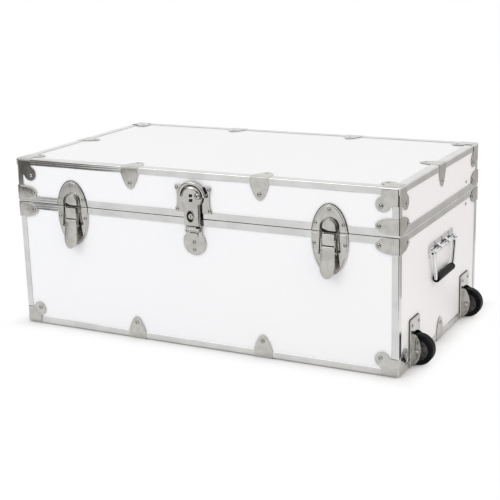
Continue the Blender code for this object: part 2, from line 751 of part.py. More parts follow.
def handle_bail():
    bail = wire(handle_path(), HANDLE_WIRE)
    pivot = (END + HANDLE_OUT, HANDLE_Z)
    eyes = [rod("Y", pivot, HANDLE_EYE, y - HANDLE_EYE_HALF, y + HANDLE_EYE_HALF)
            for y in (-HANDLE_HALF, HANDLE_HALF)]
    join(bail, *eyes)
    return cut(bail, rod("Y", pivot, SPINDLE + SEAT, -BRACKET_HALF, BRACKET_HALF, 14))


def handle_grip():
    ends = HANDLE_FOOT - GRIP_EDGE
    straight = ends - GRIP_EDGE
    narrow = GRIP - GRIP_EDGE
    section = [(0, -ends), (narrow, -ends), (GRIP, -straight), (GRIP, straight), (narrow, ends), (0, ends)]
    bar = turned(section, (END + HANDLE_OUT, 0, HANDLE_Z - HANDLE_DROP), 16)
    return cut(bar, wire(handle_path(), HANDLE_WIRE + SEAT))


def handles():
    for name, side in (("left", -1), ("right", 1)):
        mirror = Matrix.Diagonal((side, 1, 1, 1))
        built = []
        for shape_of in (handle_bracket, handle_bail, handle_grip):
            pattern = shape_of()
            built.append(moved(pattern, mirror))
            bpy.data.objects.remove(pattern)
        bracket, bail, grip = built
        pivot = (side * (END + HANDLE_OUT), 0, HANDLE_Z)
        finish(f"handle_{name}_bracket", bracket, CHROME)
        finish(f"handle_{name}_bail", bail, CHROME, pivot)
        finish(f"handle_{name}_grip", grip, RUBBER, pivot, bail)


# Tow wheels on the right end, built about Y = 0
def axle_centre():
    return (END + AXLE_OUT, WHEEL_LIFT + WHEEL)


def wheel_bracket():
    x, z = axle_centre()
    inner = WHEEL_WIDTH / 2 + WHEEL_AIR
    outer = inner + FORK_SHEET
    over_binding = BOTTOM_RISE + SEAT
    plate_out = END + FORK_PLATE_OUT
    outline = rounded_box(FORK_HALF, LAP, FORK_TALL, FORK_CORNER, 2)
    bracket = plate("X", outline, END + CAP_IN, plate_out)
    back = x - WHEEL - WHEEL_AIR - FORK_SHEET
    foot = PANEL + SEAT
    top = wheel_top() + FORK_SHEET
    pad_top = FORK_TALL - FORK_CORNER
    pad = block((END + SEAT, -FORK_HALF, over_binding), (END + CAP_IN + LAP, FORK_HALF, pad_top))
    pan = block((back, -outer, foot), (plate_out - LAP, outer, top))
    join(bracket, pad, pan)
    mouth = (END + FORK_HALF, inner, wheel_top())
    hollow = block((back + FORK_SHEET, -inner, foot + FORK_SHEET), mouth)
    slot = block((END - 1.6 * PANEL, -inner, -PANEL), mouth)
    cut(bracket, hollow, slot)
    cheek = [(plate_out - LAP, z - CHEEK_TALL / 2)]
    cheek += arc((plate_out, z), (CHEEK_OUT - FORK_PLATE_OUT, CHEEK_TALL / 2), -90, 90, 10)
    cheek.append((plate_out - LAP, z + CHEEK_TALL / 2))
    join(bracket, *[plate("Y", cheek, *sorted((side * inner, side * outer))) for side in (-1, 1)])
    return cut(bracket, rod("Y", (x, z), AXLE + SEAT, -FORK_HALF, FORK_HALF, 14))


def wheel_axle():
    cheek = WHEEL_WIDTH / 2 + WHEEL_AIR + FORK_SHEET + SEAT
    ends = cheek + HEAD_TALL
    centre = axle_centre()
    shaft = rod("Y", centre, AXLE, -cheek - LAP, cheek + LAP, 14)
    heads = [rod("Y", centre, AXLE_HEAD, *sorted((side * cheek, side * ends)), 14) for side in (-1, 1)]
    return join(shaft, *heads)


def wheel():
    """A tyre on a dished hub: the section runs from the bore over one side to the tread, then back."""
    half = WHEEL_WIDTH / 2
    rim = WHEEL - TREAD_SHOULDER
    dished = half - HUB_DISH
    right = [(AXLE + SEAT, half), (WHEEL / 3, half), (WHEEL / 2.5, dished), (rim - TREAD_SHOULDER, dished),
             (rim - TREAD_SHOULDER / 2, half)]
    right += arc((rim, half - TREAD_SHOULDER), TREAD_SHOULDER, 90, 0, 3)
    left = [(radius, -y) for radius, y in reversed(right)]
    x, z = axle_centre()
    return turned(right + left, (x, 0, z))


def wheels():
    for name, y in (("front", -WHEEL_Y), ("back", WHEEL_Y)):
        shift = Matrix.Translation((0, y, 0))
        x, z = axle_centre()
        for piece, shape_of, look in (("bracket", wheel_bracket, NICKEL), ("axle", wheel_axle, NICKEL),
                                      ("tyre", wheel, RUBBER)):
            pattern = shape_of()
            pivot = (x, y, z) if piece == "tyre" else (0, 0, 0)
            finish(f"wheel_{name}_{piece}", moved(pattern, shift), look, pivot)
            bpy.data.objects.remove(pattern)


# Back hinges, built about X = 0
def hinge_leaf(up, knuckles):
    """A leaf above (up 1) or below (up -1) the hinge line, with its knuckles given as (from, to) pairs."""
    y, z = HINGE_LINE.y, HINGE_LINE.z
    clear = HINGE_BARREL + 2 * RUN
    low, high = sorted((z + up * clear, z + up * HINGE_LEAF))
    near, far = FACE + PLATE_IN, FACE + PLATE_OUT
    leaf = block((-HINGE_HALF, near, low), (HINGE_HALF, far, high))
    tools = []
    for start, end in knuckles:
        root_low, root_high = sorted((z, z + up * (clear + LAP)))
        tools.append(block((start, near, root_low), (end, far, root_high)))
        tools.append(rod("X", (y, z), HINGE_BARREL, start, end))
    return join(leaf, *tools)


def hinges(lid):
    for name, side in (("left", -1), ("right", 1)):
        shift = Matrix.Translation((side * HINGE_X, 0, 0))
        line = (HINGE_LINE.y, HINGE_LINE.z)
        upper = hinge_leaf(1, [(-HINGE_KNUCKLE, HINGE_KNUCKLE)])
        cut(upper, rod("X", line, PIN + SEAT, -HINGE_HALF, HINGE_HALF, 12))
        gap = HINGE_KNUCKLE + RUN
        lower = hinge_leaf(-1, [(-HINGE_HALF, -gap), (gap, HINGE_HALF)])
        join(lower, rod("X", line, PIN, -HINGE_HALF + LAP, HINGE_HALF - LAP, 12))
        finish(f"hinge_{name}_lid_leaf", moved(upper, shift), NICKEL, HINGE_LINE, lid)
        finish(f"hinge_{name}_base_leaf", moved(lower, shift), NICKEL)
        bpy.data.objects.remove(upper)
        bpy.data.objects.remove(lower)


# Lid stay: with the hinge line it makes a rhombus, so both arms keep step with the lid
def stay_bar(start, end, low, high):
    """A round-ended flat bar between two (Y, Z) points."""
    (y1, z1), (y2, z2) = start, end
    heading = math.degrees(math.atan2(z2 - z1, y2 - y1))
    outline = arc(end, STAY_HALF, heading - 90, heading + 90)
    outline += arc(start, STAY_HALF, heading + 90, heading + 270)
    return plate("X", outline, low, high)


def stay_rivet(place, low):
    """A rivet from a bar through the end panel, with its head outside."""
    shaft = rod("X", place, STAY_RIVET, low, END + SEAT + LAP, 12)
    head = rod("X", place, STAY_HEAD, END + SEAT, END + SEAT + SHEET, 12)
    return shaft, head


def stay(lid):
    upper_pivot = (STAY_Y, RIM + STAY_RISE)
    lower_pivot = (STAY_Y, RIM - STAY_RISE)
    knee = (2 * STAY_Y - HINGE_LINE.y, RIM)
    lower_out = END - PANEL - STAY_INSET
    lower_in = lower_out - STAY_BAR
    upper_out = lower_in - RUN
    upper_in = upper_out - STAY_BAR
    lower = stay_bar(lower_pivot, knee, lower_in, lower_out)
    pin = rod("X", knee, STAY_PIN, upper_in - STAY_PIN_END, lower_in + LAP, 14)
    join(lower, *stay_rivet(lower_pivot, lower_out - LAP), pin)
    finish("stay_lower_arm", lower, NICKEL, (lower_out, *lower_pivot))
    upper = stay_bar(upper_pivot, knee, upper_in, upper_out)
    join(upper, *stay_rivet(upper_pivot, upper_out - LAP))
    cut(upper, rod("X", knee, STAY_PIN + RUN, upper_in - PANEL, upper_out + PANEL, 14))
    finish("stay_upper_arm", upper, NICKEL, (upper_out, *upper_pivot), lid)


def stand_on_floor():
    """Hangs the whole trunk on one empty, raised so that the bottom corner caps stand on the floor."""
    trunk = empty("trunk", (0, 0, 0))
    for obj in parts.objects:
        if obj != trunk and not obj.parent:
            obj.parent = trunk
    trunk.location.z = CAP_OUT


clear_scene()
lid_pivot = empty("lid_pivot", HINGE_LINE)
base_panels()
lid_panels(lid_pivot)
rims(lid_pivot)
edge_bindings(lid_pivot)
corner_caps(lid_pivot)
rim_clamps(lid_pivot)
latches(lid_pivot)
lock(lid_pivot)
handles()
wheels()
hinges(lid_pivot)
stay(lid_pivot)
stand_on_floor()
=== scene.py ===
# %% [markdown]
# # A storage trunk, dressed for its picture
#
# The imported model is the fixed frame: panels, metal trim, latches, lock, handles and wheels at their
# real sizes. This lesson keeps the panels, gives them a finish, and models each piece of metal again
# with the folds, grooves and rivets that stamped hardware has.

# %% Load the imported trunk
import math

import bmesh
import bpy
from mathutils import Euler, Matrix, Vector


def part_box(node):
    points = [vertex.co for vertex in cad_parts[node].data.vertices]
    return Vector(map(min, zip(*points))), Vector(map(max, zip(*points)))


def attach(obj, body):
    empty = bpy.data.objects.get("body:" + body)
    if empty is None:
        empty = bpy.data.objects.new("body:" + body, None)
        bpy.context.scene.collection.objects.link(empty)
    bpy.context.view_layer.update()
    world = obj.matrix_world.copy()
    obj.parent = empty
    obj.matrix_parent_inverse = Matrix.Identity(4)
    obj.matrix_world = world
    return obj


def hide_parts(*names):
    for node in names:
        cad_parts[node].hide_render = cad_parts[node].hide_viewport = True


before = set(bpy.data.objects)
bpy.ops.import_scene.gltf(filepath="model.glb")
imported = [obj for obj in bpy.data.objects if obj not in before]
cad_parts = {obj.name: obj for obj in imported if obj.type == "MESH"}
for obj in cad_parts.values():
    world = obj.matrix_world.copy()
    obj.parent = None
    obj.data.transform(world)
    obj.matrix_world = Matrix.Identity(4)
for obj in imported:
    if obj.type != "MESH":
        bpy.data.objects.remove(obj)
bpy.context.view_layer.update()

# %% [markdown]
# ## Sizes that everything hangs on
#
# The case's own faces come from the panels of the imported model, so a piece built against them lands
# where the solid is. The remaining numbers are the hardware's, in millimetres.

# %% Measure the case
MM = 0.001
SPLIT = 0.15 * MM
low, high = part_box("base_front_panel")
END, FACE, SOLE = high.x, -low.y, low.z
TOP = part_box("lid_top_panel")[1].z
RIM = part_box("lid_rim")[0].z - SPLIT
print(f"case {2 * END:.4f} x {2 * FACE:.4f} x {TOP - SOLE:.4f} m, split at {RIM - SOLE:.4f} m")

# %% [markdown]
# ## Shader maths as Python
#
# A shader is arithmetic on patterns. Wrapping a socket in a small class lets that arithmetic be
# written as Python: each operator adds one Math node, and any other node comes from one method.


# %% A socket that can be added and multiplied
class Value:
    """One socket of a node tree. Operators on it add Math nodes to the same tree."""

    def __init__(self, tree, socket):
        self.tree = tree
        self.socket = socket

    def node(self, kind, inputs, output=0, **settings):
        """Adds a node of this kind: settings first, then its inputs by name or number."""
        made = self.tree.nodes.new("ShaderNode" + kind)
        for name, setting in settings.items():
            setattr(made, name, setting)
        for name, value in inputs.items():
            if isinstance(value, Value):
                self.tree.links.new(value.socket, made.inputs[name])
            else:
                made.inputs[name].default_value = value
        return Value(self.tree, made.outputs[output])

    def math(self, operation, first, second, clamp=False):
        return self.node("Math", {0: first, 1: second}, operation=operation, use_clamp=clamp)

    def __add__(self, other):
        return self.math("ADD", self, other)

    def __sub__(self, other):
        return self.math("SUBTRACT", self, other)

    def __rsub__(self, other):
        return self.math("SUBTRACT", other, self)

    def __mul__(self, other):
        return self.math("MULTIPLY", self, other)

    def __abs__(self):
        return self.math("ABSOLUTE", self, 0.0)

    __radd__ = __add__
    __rmul__ = __mul__

    def ramp(self, low, high):
        """Rises smoothly from 0 at low to 1 at high."""
        inputs = {"Value": self, "From Min": low, "From Max": high}
        return self.node("MapRange", inputs, interpolation_type="SMOOTHSTEP")

    def mix(self, first, second):
        """A colour between two, by this value."""
        return self.node("Mix", {0: self, 6: first, 7: second}, 2, data_type="RGBA")

    def noise(self, scale, detail=2.0):
        return self.node("TexNoise", {"Vector": self, "Scale": scale, "Detail": detail})

    def stretched(self, x, y, z):
        return self.node("Mapping", {"Vector": self, "Scale": (x, y, z)})

    def bump(self, distance, strength=1.0):
        return self.node("Bump", {"Height": self, "Distance": distance, "Strength": strength})

    def axes(self):
        return [self.node("SeparateXYZ", {0: self}, i) for i in range(3)]


def new_look(name):
    """A material with its Object coordinates."""
    look = bpy.data.materials.new(name)
    look.use_nodes = True
    coords = look.node_tree.nodes.new("ShaderNodeTexCoord")
    return look, Value(look.node_tree, coords.outputs["Object"])


def dress(look, sockets):
    """Sets or links the sockets of a material's own shader."""
    shader = look.node_tree.nodes["Principled BSDF"]
    for name, value in sockets.items():
        if isinstance(value, Value):
            look.node_tree.links.new(value.socket, shader.inputs[name])
        else:
            shader.inputs[name].default_value = value
    print("finish:", look.name)
    return look


# %% [markdown]
# ## White laminate outside, bare birch inside
#
# The panels are plywood with a thin white sheet pressed on. The sheet is satin smooth, with a faint
# orange peel and very slight drifts of tone. Inside, the plywood shows. One material can do both: a
# mask of the Object coordinates tells the inside faces from the outside ones.

# %% Laminate and plywood
PANEL = 9.5 * MM


def laminate():
    look, place = new_look("laminate_on_birch")
    x, y, z = place.axes()
    skin = 0.3 * MM
    inside = 1.0 - abs(x).ramp(END - PANEL + skin, END - PANEL + 2 * skin)
    inside = inside * (1.0 - abs(y).ramp(FACE - PANEL + skin, FACE - PANEL + 2 * skin))
    inside = inside * z.ramp(SOLE + PANEL - 2 * skin, SOLE + PANEL - skin)
    inside = inside * (1.0 - z.ramp(TOP - PANEL + skin, TOP - PANEL + 2 * skin))
    drift = place.noise(3.0, 3.0).mix((0.885, 0.892, 0.908, 1), (0.905, 0.911, 0.924, 1))
    grain = place.stretched(6.0, 90.0, 90.0).noise(1.6, 6.0)
    birch = grain.ramp(0.3, 0.7).mix((0.66, 0.52, 0.36, 1), (0.76, 0.63, 0.46, 1))
    peel = place.noise(420.0, 1.0)
    return dress(look, {
        "Base Color": inside.mix(drift, birch),
        "Roughness": 0.34 + 0.08 * place.noise(14.0) + 0.2 * inside,
        "Normal": (peel + 2.0 * grain * inside).bump(0.05 * MM, 0.35),
        "Specular IOR Level": 0.4,
    })


LAMINATE = laminate()
for name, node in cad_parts.items():
    if name.endswith("_panel"):
        node.data.materials.clear()
        node.data.materials.append(LAMINATE)

# %% [markdown]
# ## Metal finishes
#
# The binding strips are satin aluminium, drawn through a die, so fine lines run along them. The
# stamped hardware is bright nickel plate with soft smears in its gloss. The handle's wire is chrome.
# Each finish is a plain metal whose colour and gloss drift with noise at its own scale.


# %% Satin, nickel and chrome
def metal(name, dull, bright, rough, spread, patch, grit):
    """A plated or drawn metal: two tones, and a gloss that varies over patches and fine grit."""
    look, place = new_look(name)
    patches = place.noise(patch, 4.0)
    fine = place.noise(grit, 2.0)
    return dress(look, {
        "Base Color": patches.ramp(0.3, 0.7).mix(dull, bright),
        "Metallic": 1.0,
        "Roughness": rough + spread * patches + 0.5 * spread * fine,
        "Normal": fine.bump(0.02 * MM, 0.3),
    })


SATIN = metal("drawn_satin", (0.60, 0.60, 0.59, 1), (0.68, 0.68, 0.67, 1), 0.04, 0.05, 25.0, 900.0)
NICKEL = metal("bright_nickel", (0.46, 0.452, 0.428, 1), (0.56, 0.55, 0.523, 1), 0.05, 0.10, 60.0, 700.0)
CHROME = metal("bright_chrome", (0.74, 0.74, 0.75, 1), (0.84, 0.84, 0.85, 1), 0.03, 0.05, 80.0, 500.0)

# %% [markdown]
# ## Rubber, plastic and painted shade
#
# The grip and the tyres are black. Moulded black is never one tone: it greys where it is rubbed and
# its skin has a fine texture, so noise moves the colour, the gloss and the bump together.
# A near-black of the same kind is painted shade, set in holes, gaps and hollows where shade falls.


# %% Black mouldings
def moulded(name, dark, worn, rough, shine, texture):
    """A black moulding: two tones where it is rubbed, and pores at the scale of its texture."""
    look, place = new_look(name)
    rub = place.noise(45.0, 4.0).ramp(0.35, 0.75)
    pores = place.noise(texture, 2.0)
    return dress(look, {
        "Base Color": rub.mix(dark, worn),
        "Roughness": rough + 0.15 * rub,
        "Normal": pores.bump(0.06 * MM, 0.5),
        "Specular IOR Level": shine,
    })


RUBBER = moulded("soft_rubber", (0.006, 0.006, 0.007, 1), (0.014, 0.014, 0.015, 1), 0.34, 0.05, 800.0)
HUB = moulded("hub_plastic", (0.060, 0.060, 0.062, 1), (0.115, 0.115, 0.118, 1), 0.25, 0.5, 500.0)
# Painted shade: a near-black standing in for the shade in holes, gaps and hollows; its two tones differ
# only at random.
PAINTED_SHADE = moulded("painted_shade_black", (0.012, 0.011, 0.010, 1), (0.022, 0.02, 0.018, 1), 0.7, 0.1, 300.0)

# %% [markdown]
# ## The workbench
#
# Most pieces are flat stampings on one face of the case, so they are drawn as plates: across, up and
# outward. A frame for each face carries the plate to its place. Shapes come from a handful of bmesh
# operators: a filled outline that is extruded and bevelled, a profile that is spun, and an inset.


# %% Outlines
def mm(*points):
    """Points of an outline or a profile, given in millimetres."""
    return [(a * MM, b * MM) for a, b in points]


def arc(centre, radius, start, end, steps=8):
    """Points on an arc, in degrees; a pair of radii gives an oval."""
    wide, tall = radius if isinstance(radius, tuple) else (radius, radius)
    turns = [math.radians(start + (end - start) * i / steps) for i in range(steps + 1)]
    return [(centre[0] + wide * math.cos(t), centre[1] + tall * math.sin(t)) for t in turns]


def rounded_box(half_wide, low, high, corner):
    """A rectangle about the upright middle line, with round corners."""
    points = []
    for turn, x, y in ((0, half_wide - corner, high - corner), (90, corner - half_wide, high - corner),
                       (180, corner - half_wide, low + corner), (270, half_wide - corner, low + corner)):
        points += arc((x, y), corner, turn, turn + 90, 4)
    return points


# %% Plates
def verts_in(geom):
    return [item for item in geom if isinstance(item, bmesh.types.BMVert)]


def soften(bm, edges, offset, segments=2):
    """Rounds these edges."""
    bmesh.ops.bevel(bm, geom=edges, offset=offset, offset_type="OFFSET", segments=segments,
                    profile=0.5, affect="EDGES", material=-1, clamp_overlap=True)


def plate(outline, low, high, edge=0.0, segments=2, both=False):
    """A filled outline extruded from low to high, with its upper rim, or both rims, rounded."""
    bm = bmesh.new()
    face = bm.faces.new([bm.verts.new((a, b, low)) for a, b in outline])
    raised = verts_in(bmesh.ops.extrude_face_region(bm, geom=[face])["geom"])
    bmesh.ops.translate(bm, vec=(0, 0, high - low), verts=raised)
    bmesh.ops.recalc_face_normals(bm, faces=bm.faces)
    if edge:
        rim = [e for e in bm.edges if both or all(v in raised for v in e.verts)]
        level = [e for e in rim if abs(e.verts[0].co.z - e.verts[1].co.z) < 1e-9]
        soften(bm, level, edge, segments)
    return bm


def stamp(bm, *steps):
    """Presses the highest flat face of a plate in steps of (inset, rise)."""
    face = max(bm.faces, key=lambda f: (round(f.calc_center_median().z, 6), f.calc_area()))
    for inset, rise in steps:
        bmesh.ops.inset_region(bm, faces=[face], thickness=inset, depth=rise, use_even_offset=True)
    return bm


def sliced(bm, axis, *levels):
    """Cuts a shape across one axis at these levels; it stays in one piece."""
    normal = Vector([float(i == axis) for i in range(3)])
    for level in levels:
        bmesh.ops.bisect_plane(bm, geom=bm.verts[:] + bm.edges[:] + bm.faces[:],
                               plane_co=level * normal, plane_no=normal)
    return bm


# %% Turned shapes
def turned(profile, steps=24):
    """A profile of (radius, height) points spun round the upright axis."""
    bm = bmesh.new()
    verts = [bm.verts.new((radius, 0, height)) for radius, height in profile]
    edges = [bm.edges.new(pair) for pair in zip(verts, verts[1:])]
    bmesh.ops.spin(bm, geom=verts + edges, cent=(0, 0, 0), axis=(0, 0, 1), angle=math.tau,
                   steps=steps, use_merge=True, use_duplicate=False)
    bmesh.ops.remove_doubles(bm, verts=bm.verts, dist=1e-7)
    bmesh.ops.recalc_face_normals(bm, faces=bm.faces)
    return bm


def disc(radius, low, high, steps):
    """A short round bar with sharp ends."""
    return turned([(0, low), (radius, low), (radius, high), (0, high)], steps)


def rod(radius, low, high, steps=20, edge=0.4 * MM):
    """A round bar with its ends eased."""
    return turned([(0, low), (radius - edge, low), (radius, low + edge), (radius, high - edge),
                   (radius - edge, high), (0, high)], steps)


# %% Carrying shapes to their places
def add(target, part, *matrices):
    """Copies a shape into a larger one, once for each matrix, and lets go of it."""
    for matrix in matrices or (Matrix.Identity(4),):
        mesh = bpy.data.meshes.new("copy")
        part.to_mesh(mesh)
        mesh.transform(matrix)
        if matrix.is_negative:
            mesh.flip_normals()
        target.from_mesh(mesh)
        bpy.data.meshes.remove(mesh)
    part.free()
    return target


def placed(shape, *matrices):
    """A shape carried to its place, or copied to several."""
    return add(bmesh.new(), shape, *matrices)


FACES = {"front": ((0, -FACE, 0), (1, 0, 0)), "back": ((0, FACE, 0), (-1, 0, 0)),
         "right": ((END, 0, 0), (0, 1, 0)), "left": ((-END, 0, 0), (0, -1, 0))}


def on(face, across=0.0, height=0.0):
    """Carries a plate to a face of the case: its middle across and its height."""
    origin, along = FACES[face]
    along, up = Vector(along), Vector((0, 0, 1))
    matrix = Matrix((along, up, along.cross(up))).transposed().to_4x4()
    matrix.translation = Vector(origin) + along * across + up * height
    return matrix


def middle_of(node):
    low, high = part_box(node)
    return (low + high) / 2


def new_object(name, data):
    made = bpy.data.objects.new(name, data)
    bpy.context.scene.collection.objects.link(made)
    return made


def new_mesh_object(name, bm, look):
    mesh = bpy.data.meshes.new(name)
    bm.to_mesh(mesh)
    bm.free()
    mesh.materials.append(look)
    return new_object(name, mesh)


def keep(name, bm, look, body, *nodes, sharp=38):
    """Makes a shape a piece of the trunk, on its body, in place of these nodes."""
    bmesh.ops.remove_doubles(bm, verts=bm.verts, dist=1e-6)
    bad = sum(not e.is_manifold for e in bm.edges)
    piece = new_mesh_object(name, bm, look)
    piece.data.shade_smooth()
    piece.data.set_sharp_from_angle(angle=math.radians(sharp))
    piece.modifiers.new("flat_faces_stay_flat", "WEIGHTED_NORMAL").keep_sharp = True
    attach(piece, body)
    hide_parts(*nodes)
    print(f"{name}: {len(piece.data.polygons)} faces, {bad} open edges")


# %% Noting rivets
RIVETS = {}


def rivet(body, matrix, size=1.0):
    """Notes a rivet for later: all the rivets of a body are made together."""
    RIVETS.setdefault(body, []).append(matrix @ Matrix.Diagonal((size, size, size, 1)))


def rivets(body, place, out, size, *spots):
    """Notes rivets of one size on a plate, at (across, up) spots in millimetres."""
    for across, up in mm(*spots):
        rivet(body, place @ Matrix.Translation((across, up, out)), size)


# %% [markdown]
# ## Edge bindings
#
# Every outer edge wears an angle strip with shallow grooves along each leg. A strip round the top or
# bottom could be swept along a path, but a corner section that is drawn out to the middle of both
# sides and mirrored twice gives the mitred corners directly. The uprights are a like angle in plan,
# extruded.

# %% The angle section
SEAT = 0.3 * MM
STRIP, STRIP_ROUND = 1.3 * MM, 2.5 * MM
GROOVES, GROOVE, GROOVE_HALF = 2, 0.045 * MM, 0.5 * MM


def grooved(length):
    """Steps along a leg as (distance, depth) pairs: an eased edge, then evenly spaced grooves."""
    steps = mm((0, 0.3), (0.4, 0))
    for i in range(1, GROOVES + 1):
        middle = length * i / (GROOVES + 1)
        steps += [(middle - GROOVE_HALF, 0), (middle, GROOVE), (middle + GROOVE_HALF, 0)]
    return steps


def angle_section(first, second):
    """A grooved angle about a case edge at (0, 0): legs of these lengths along both axes."""
    bend = STRIP - STRIP_ROUND
    outer = [(d - first, STRIP - depth) for d, depth in grooved(first)]
    outer += arc((bend, bend), STRIP_ROUND, 90, 0, 18)
    outer += [(STRIP - depth, d - second) for d, depth in reversed(grooved(second))]
    return outer + [(SEAT, -second), (SEAT, SEAT), (-first, SEAT)]


# %% Strips round the case
FLAT_LEG, POST_LEG = 16 * MM, 12.2 * MM


def mirrored(bm):
    """Completes a quarter of the trunk across its two middle planes."""
    for axis in "XY":
        bmesh.ops.mirror(bm, geom=bm.verts[:] + bm.edges[:] + bm.faces[:], axis=axis, merge_dist=1e-5)
    bmesh.ops.remove_doubles(bm, verts=bm.verts, dist=1e-6)
    bmesh.ops.recalc_face_normals(bm, faces=bm.faces)
    return bm


def ring(section):
    """A strip round the case: a closed (out, height) section at a corner, drawn out and mirrored."""
    bm = bmesh.new()
    verts = [bm.verts.new((END + out, FACE + out, z)) for out, z in section]
    loop = [bm.edges.new((verts[i - 1], verts[i])) for i in range(len(verts))]
    for to_middle in ((0, 1, 1), (1, 0, 1)):
        drawn_out = verts_in(bmesh.ops.extrude_edge_only(bm, edges=loop)["geom"])
        bmesh.ops.scale(bm, vec=to_middle, verts=drawn_out)
    return mirrored(bm)


def uprights(low, high):
    """The four corner posts between two heights."""
    section = angle_section(POST_LEG, POST_LEG)
    return mirrored(plate([(END + a, FACE + b) for a, b in section], low, high))


# %% Lid and base bindings
BAND = 13.5 * MM
TOP_DROP = BOTTOM_RISE = 12 * MM
WHEEL_Y = abs(middle_of("wheel_front_tyre").y)
WHEEL_GAP_HALF, WHEEL_GAP_FOOT = 14.5 * MM, SOLE + 0.5 * MM


def gap_for_wheel(bm, y):
    """Cuts the bottom strip's upright leg away where a wheel passes, and closes the cut ends."""
    sliced(bm, 1, y - WHEEL_GAP_HALF, y + WHEEL_GAP_HALF)
    sliced(bm, 2, WHEEL_GAP_FOOT)
    gone = []
    for face in bm.faces:
        middle = face.calc_center_median()
        if middle.x > END and abs(middle.y - y) < WHEEL_GAP_HALF and middle.z > WHEEL_GAP_FOOT:
            gone.append(face)
    bmesh.ops.delete(bm, geom=gone, context="FACES")
    bmesh.ops.holes_fill(bm, edges=[e for e in bm.edges if e.is_boundary], sides=0)


binding = ring([(out, TOP + up) for out, up in angle_section(FLAT_LEG, TOP_DROP)])
add(binding, uprights(RIM + BAND + SEAT, TOP - TOP_DROP - SEAT))
keep("lid_binding_strips", binding, SATIN, "lid", "lid_edge_binding", sharp=6)

binding = ring([(out, SOLE - up) for out, up in angle_section(FLAT_LEG, BOTTOM_RISE)])
for wheel_y in (-WHEEL_Y, WHEEL_Y):
    gap_for_wheel(binding, wheel_y)
add(binding, uprights(SOLE + BOTTOM_RISE + SEAT, RIM - BAND - SEAT))
keep("base_binding_strips", binding, SATIN, "base", "base_edge_binding", sharp=6)

# %% [markdown]
# ## Rims at the split
#
# Where the lid meets the base, each wears a flat grooved band. The base's band turns in over the
# panel and stands up as a tongue that the lid drops over. Both are rings of one section.

# %% Lid rim and base rim
BAND_OUT, FLANGE, V_CUT = 1.5 * MM, 1.2 * MM, 0.8 * MM
TONGUE_RISE, TONGUE_EASE = 5 * MM, 0.4 * MM
TONGUE_OUT, TONGUE_IN = -PANEL - 0.4 * MM, -PANEL - 1.6 * MM


def band_face(low, high, low_cut, high_cut):
    """The outer face of a band from low to high, with its grooves and its edges cut away."""
    face = [(BAND_OUT - low_cut, low), (BAND_OUT, low + low_cut)]
    face += [(BAND_OUT - depth, low + d) for d, depth in grooved(high - low)[2:]]
    return face + [(BAND_OUT, high - high_cut), (BAND_OUT - high_cut, high)]


sole, crest = RIM + SPLIT, RIM + BAND
section = [(-PANEL, sole), *band_face(sole, crest, V_CUT, SEAT), (SEAT, crest),
           (SEAT, sole + FLANGE), (-PANEL, sole + FLANGE)]
keep("lid_rim_band", ring(section), SATIN, "lid", "lid_rim", sharp=6)

foot, ledge, tip = RIM - BAND, RIM - SPLIT, RIM + TONGUE_RISE
section = [(SEAT, foot), *band_face(foot, ledge, SEAT, V_CUT), (TONGUE_OUT, ledge),
           (TONGUE_OUT, tip - TONGUE_EASE), (TONGUE_OUT - TONGUE_EASE, tip),
           (TONGUE_IN, tip), (TONGUE_IN, foot), (TONGUE_OUT, foot),
           (TONGUE_OUT, ledge - FLANGE), (SEAT, ledge - FLANGE)]
keep("base_rim_band", ring(section), SATIN, "base", "base_rim", sharp=6)

# %% [markdown]
# ## Bent sheet: edge clips, corner caps and rim clamps
#
# Clips and clamps are a stamped outline folded over one edge, and a corner cap folds over three. On
# the flat the outlines are the same on each leg, so a leg is drawn once, laid on each plane, merged
# along the folds and bevelled there. Insets crown each leg, and a solidify gives the sheet its wall.


# %% Folding a stamped outline over an edge or a corner
def on_leg(plane, p, q, flat):
    """A point of a leg whose plane is given as (p axis, q axis, flat axis)."""
    point = Vector()
    for axis, value in zip(plane, (p, q, flat)):
        point[axis] = value
    return point


def bent_sheet(outline, planes, out, fold, crown, wall):
    """Legs of one (p, q) outline on each of these planes, folded together.

    The case's edge is at zero, outwards is negative, and the outer surface stands out from it."""
    bm = bmesh.new()
    for plane in planes:
        bm.faces.new([bm.verts.new(on_leg(plane, p, q, -out)) for p, q in outline])
    bmesh.ops.remove_doubles(bm, verts=bm.verts, dist=1e-6)
    bmesh.ops.recalc_face_normals(bm, faces=bm.faces)
    bm.faces.ensure_lookup_table()
    if bm.faces[0].normal[planes[0][2]] > 0:
        bmesh.ops.reverse_faces(bm, faces=bm.faces)
    soften(bm, [e for e in bm.edges if len(e.link_faces) == 2], fold, 6)
    legs = sorted(bm.faces, key=lambda f: f.calc_area())[-len(planes):]
    for inset, rise in crown:
        bmesh.ops.inset_individual(bm, faces=legs, thickness=inset, depth=rise, use_even_offset=True)
    bmesh.ops.solidify(bm, geom=bm.faces[:], thickness=wall)
    return bm


def rivet_on_leg(body, corner, plane, p, q, out, flat):
    """Notes a rivet on one leg of a bent sheet; flat squashes its dome."""
    facing = on_leg(plane, 0, 0, -1).to_track_quat("Z", "Y").to_matrix().to_4x4()
    foot = Matrix.Translation(on_leg(plane, p, q, -out))
    rivet(body, corner @ foot @ facing @ Matrix.Diagonal((1, 1, flat, 1)))


# %% Edge clips
CLIP_HALF, CLIP_STRAIGHT, CLIP_REACH, CLIP_RIVET = 19.3 * MM, 14 * MM, 43 * MM, 31 * MM
CLIP_OUT, LID_CLIP_OUT, CLIP_RISE, CLIP_TOP_RISE = 2.2 * MM, 1.7 * MM, 0.4 * MM, 0.3 * MM
CLIP_DOME, CLIP_TOP_DOME = 0.8, 0.33
CLIP_FOLD, CLIP_WALL, CLIP_CROWN = 2.0 * MM, 0.9 * MM, mm((1.0, 0.1), (2.5, 0.3))
CLIP_X = 0.171 * 2 * END
FOLDED_ALONG_X = ((2, 0, 1), (1, 0, 2))


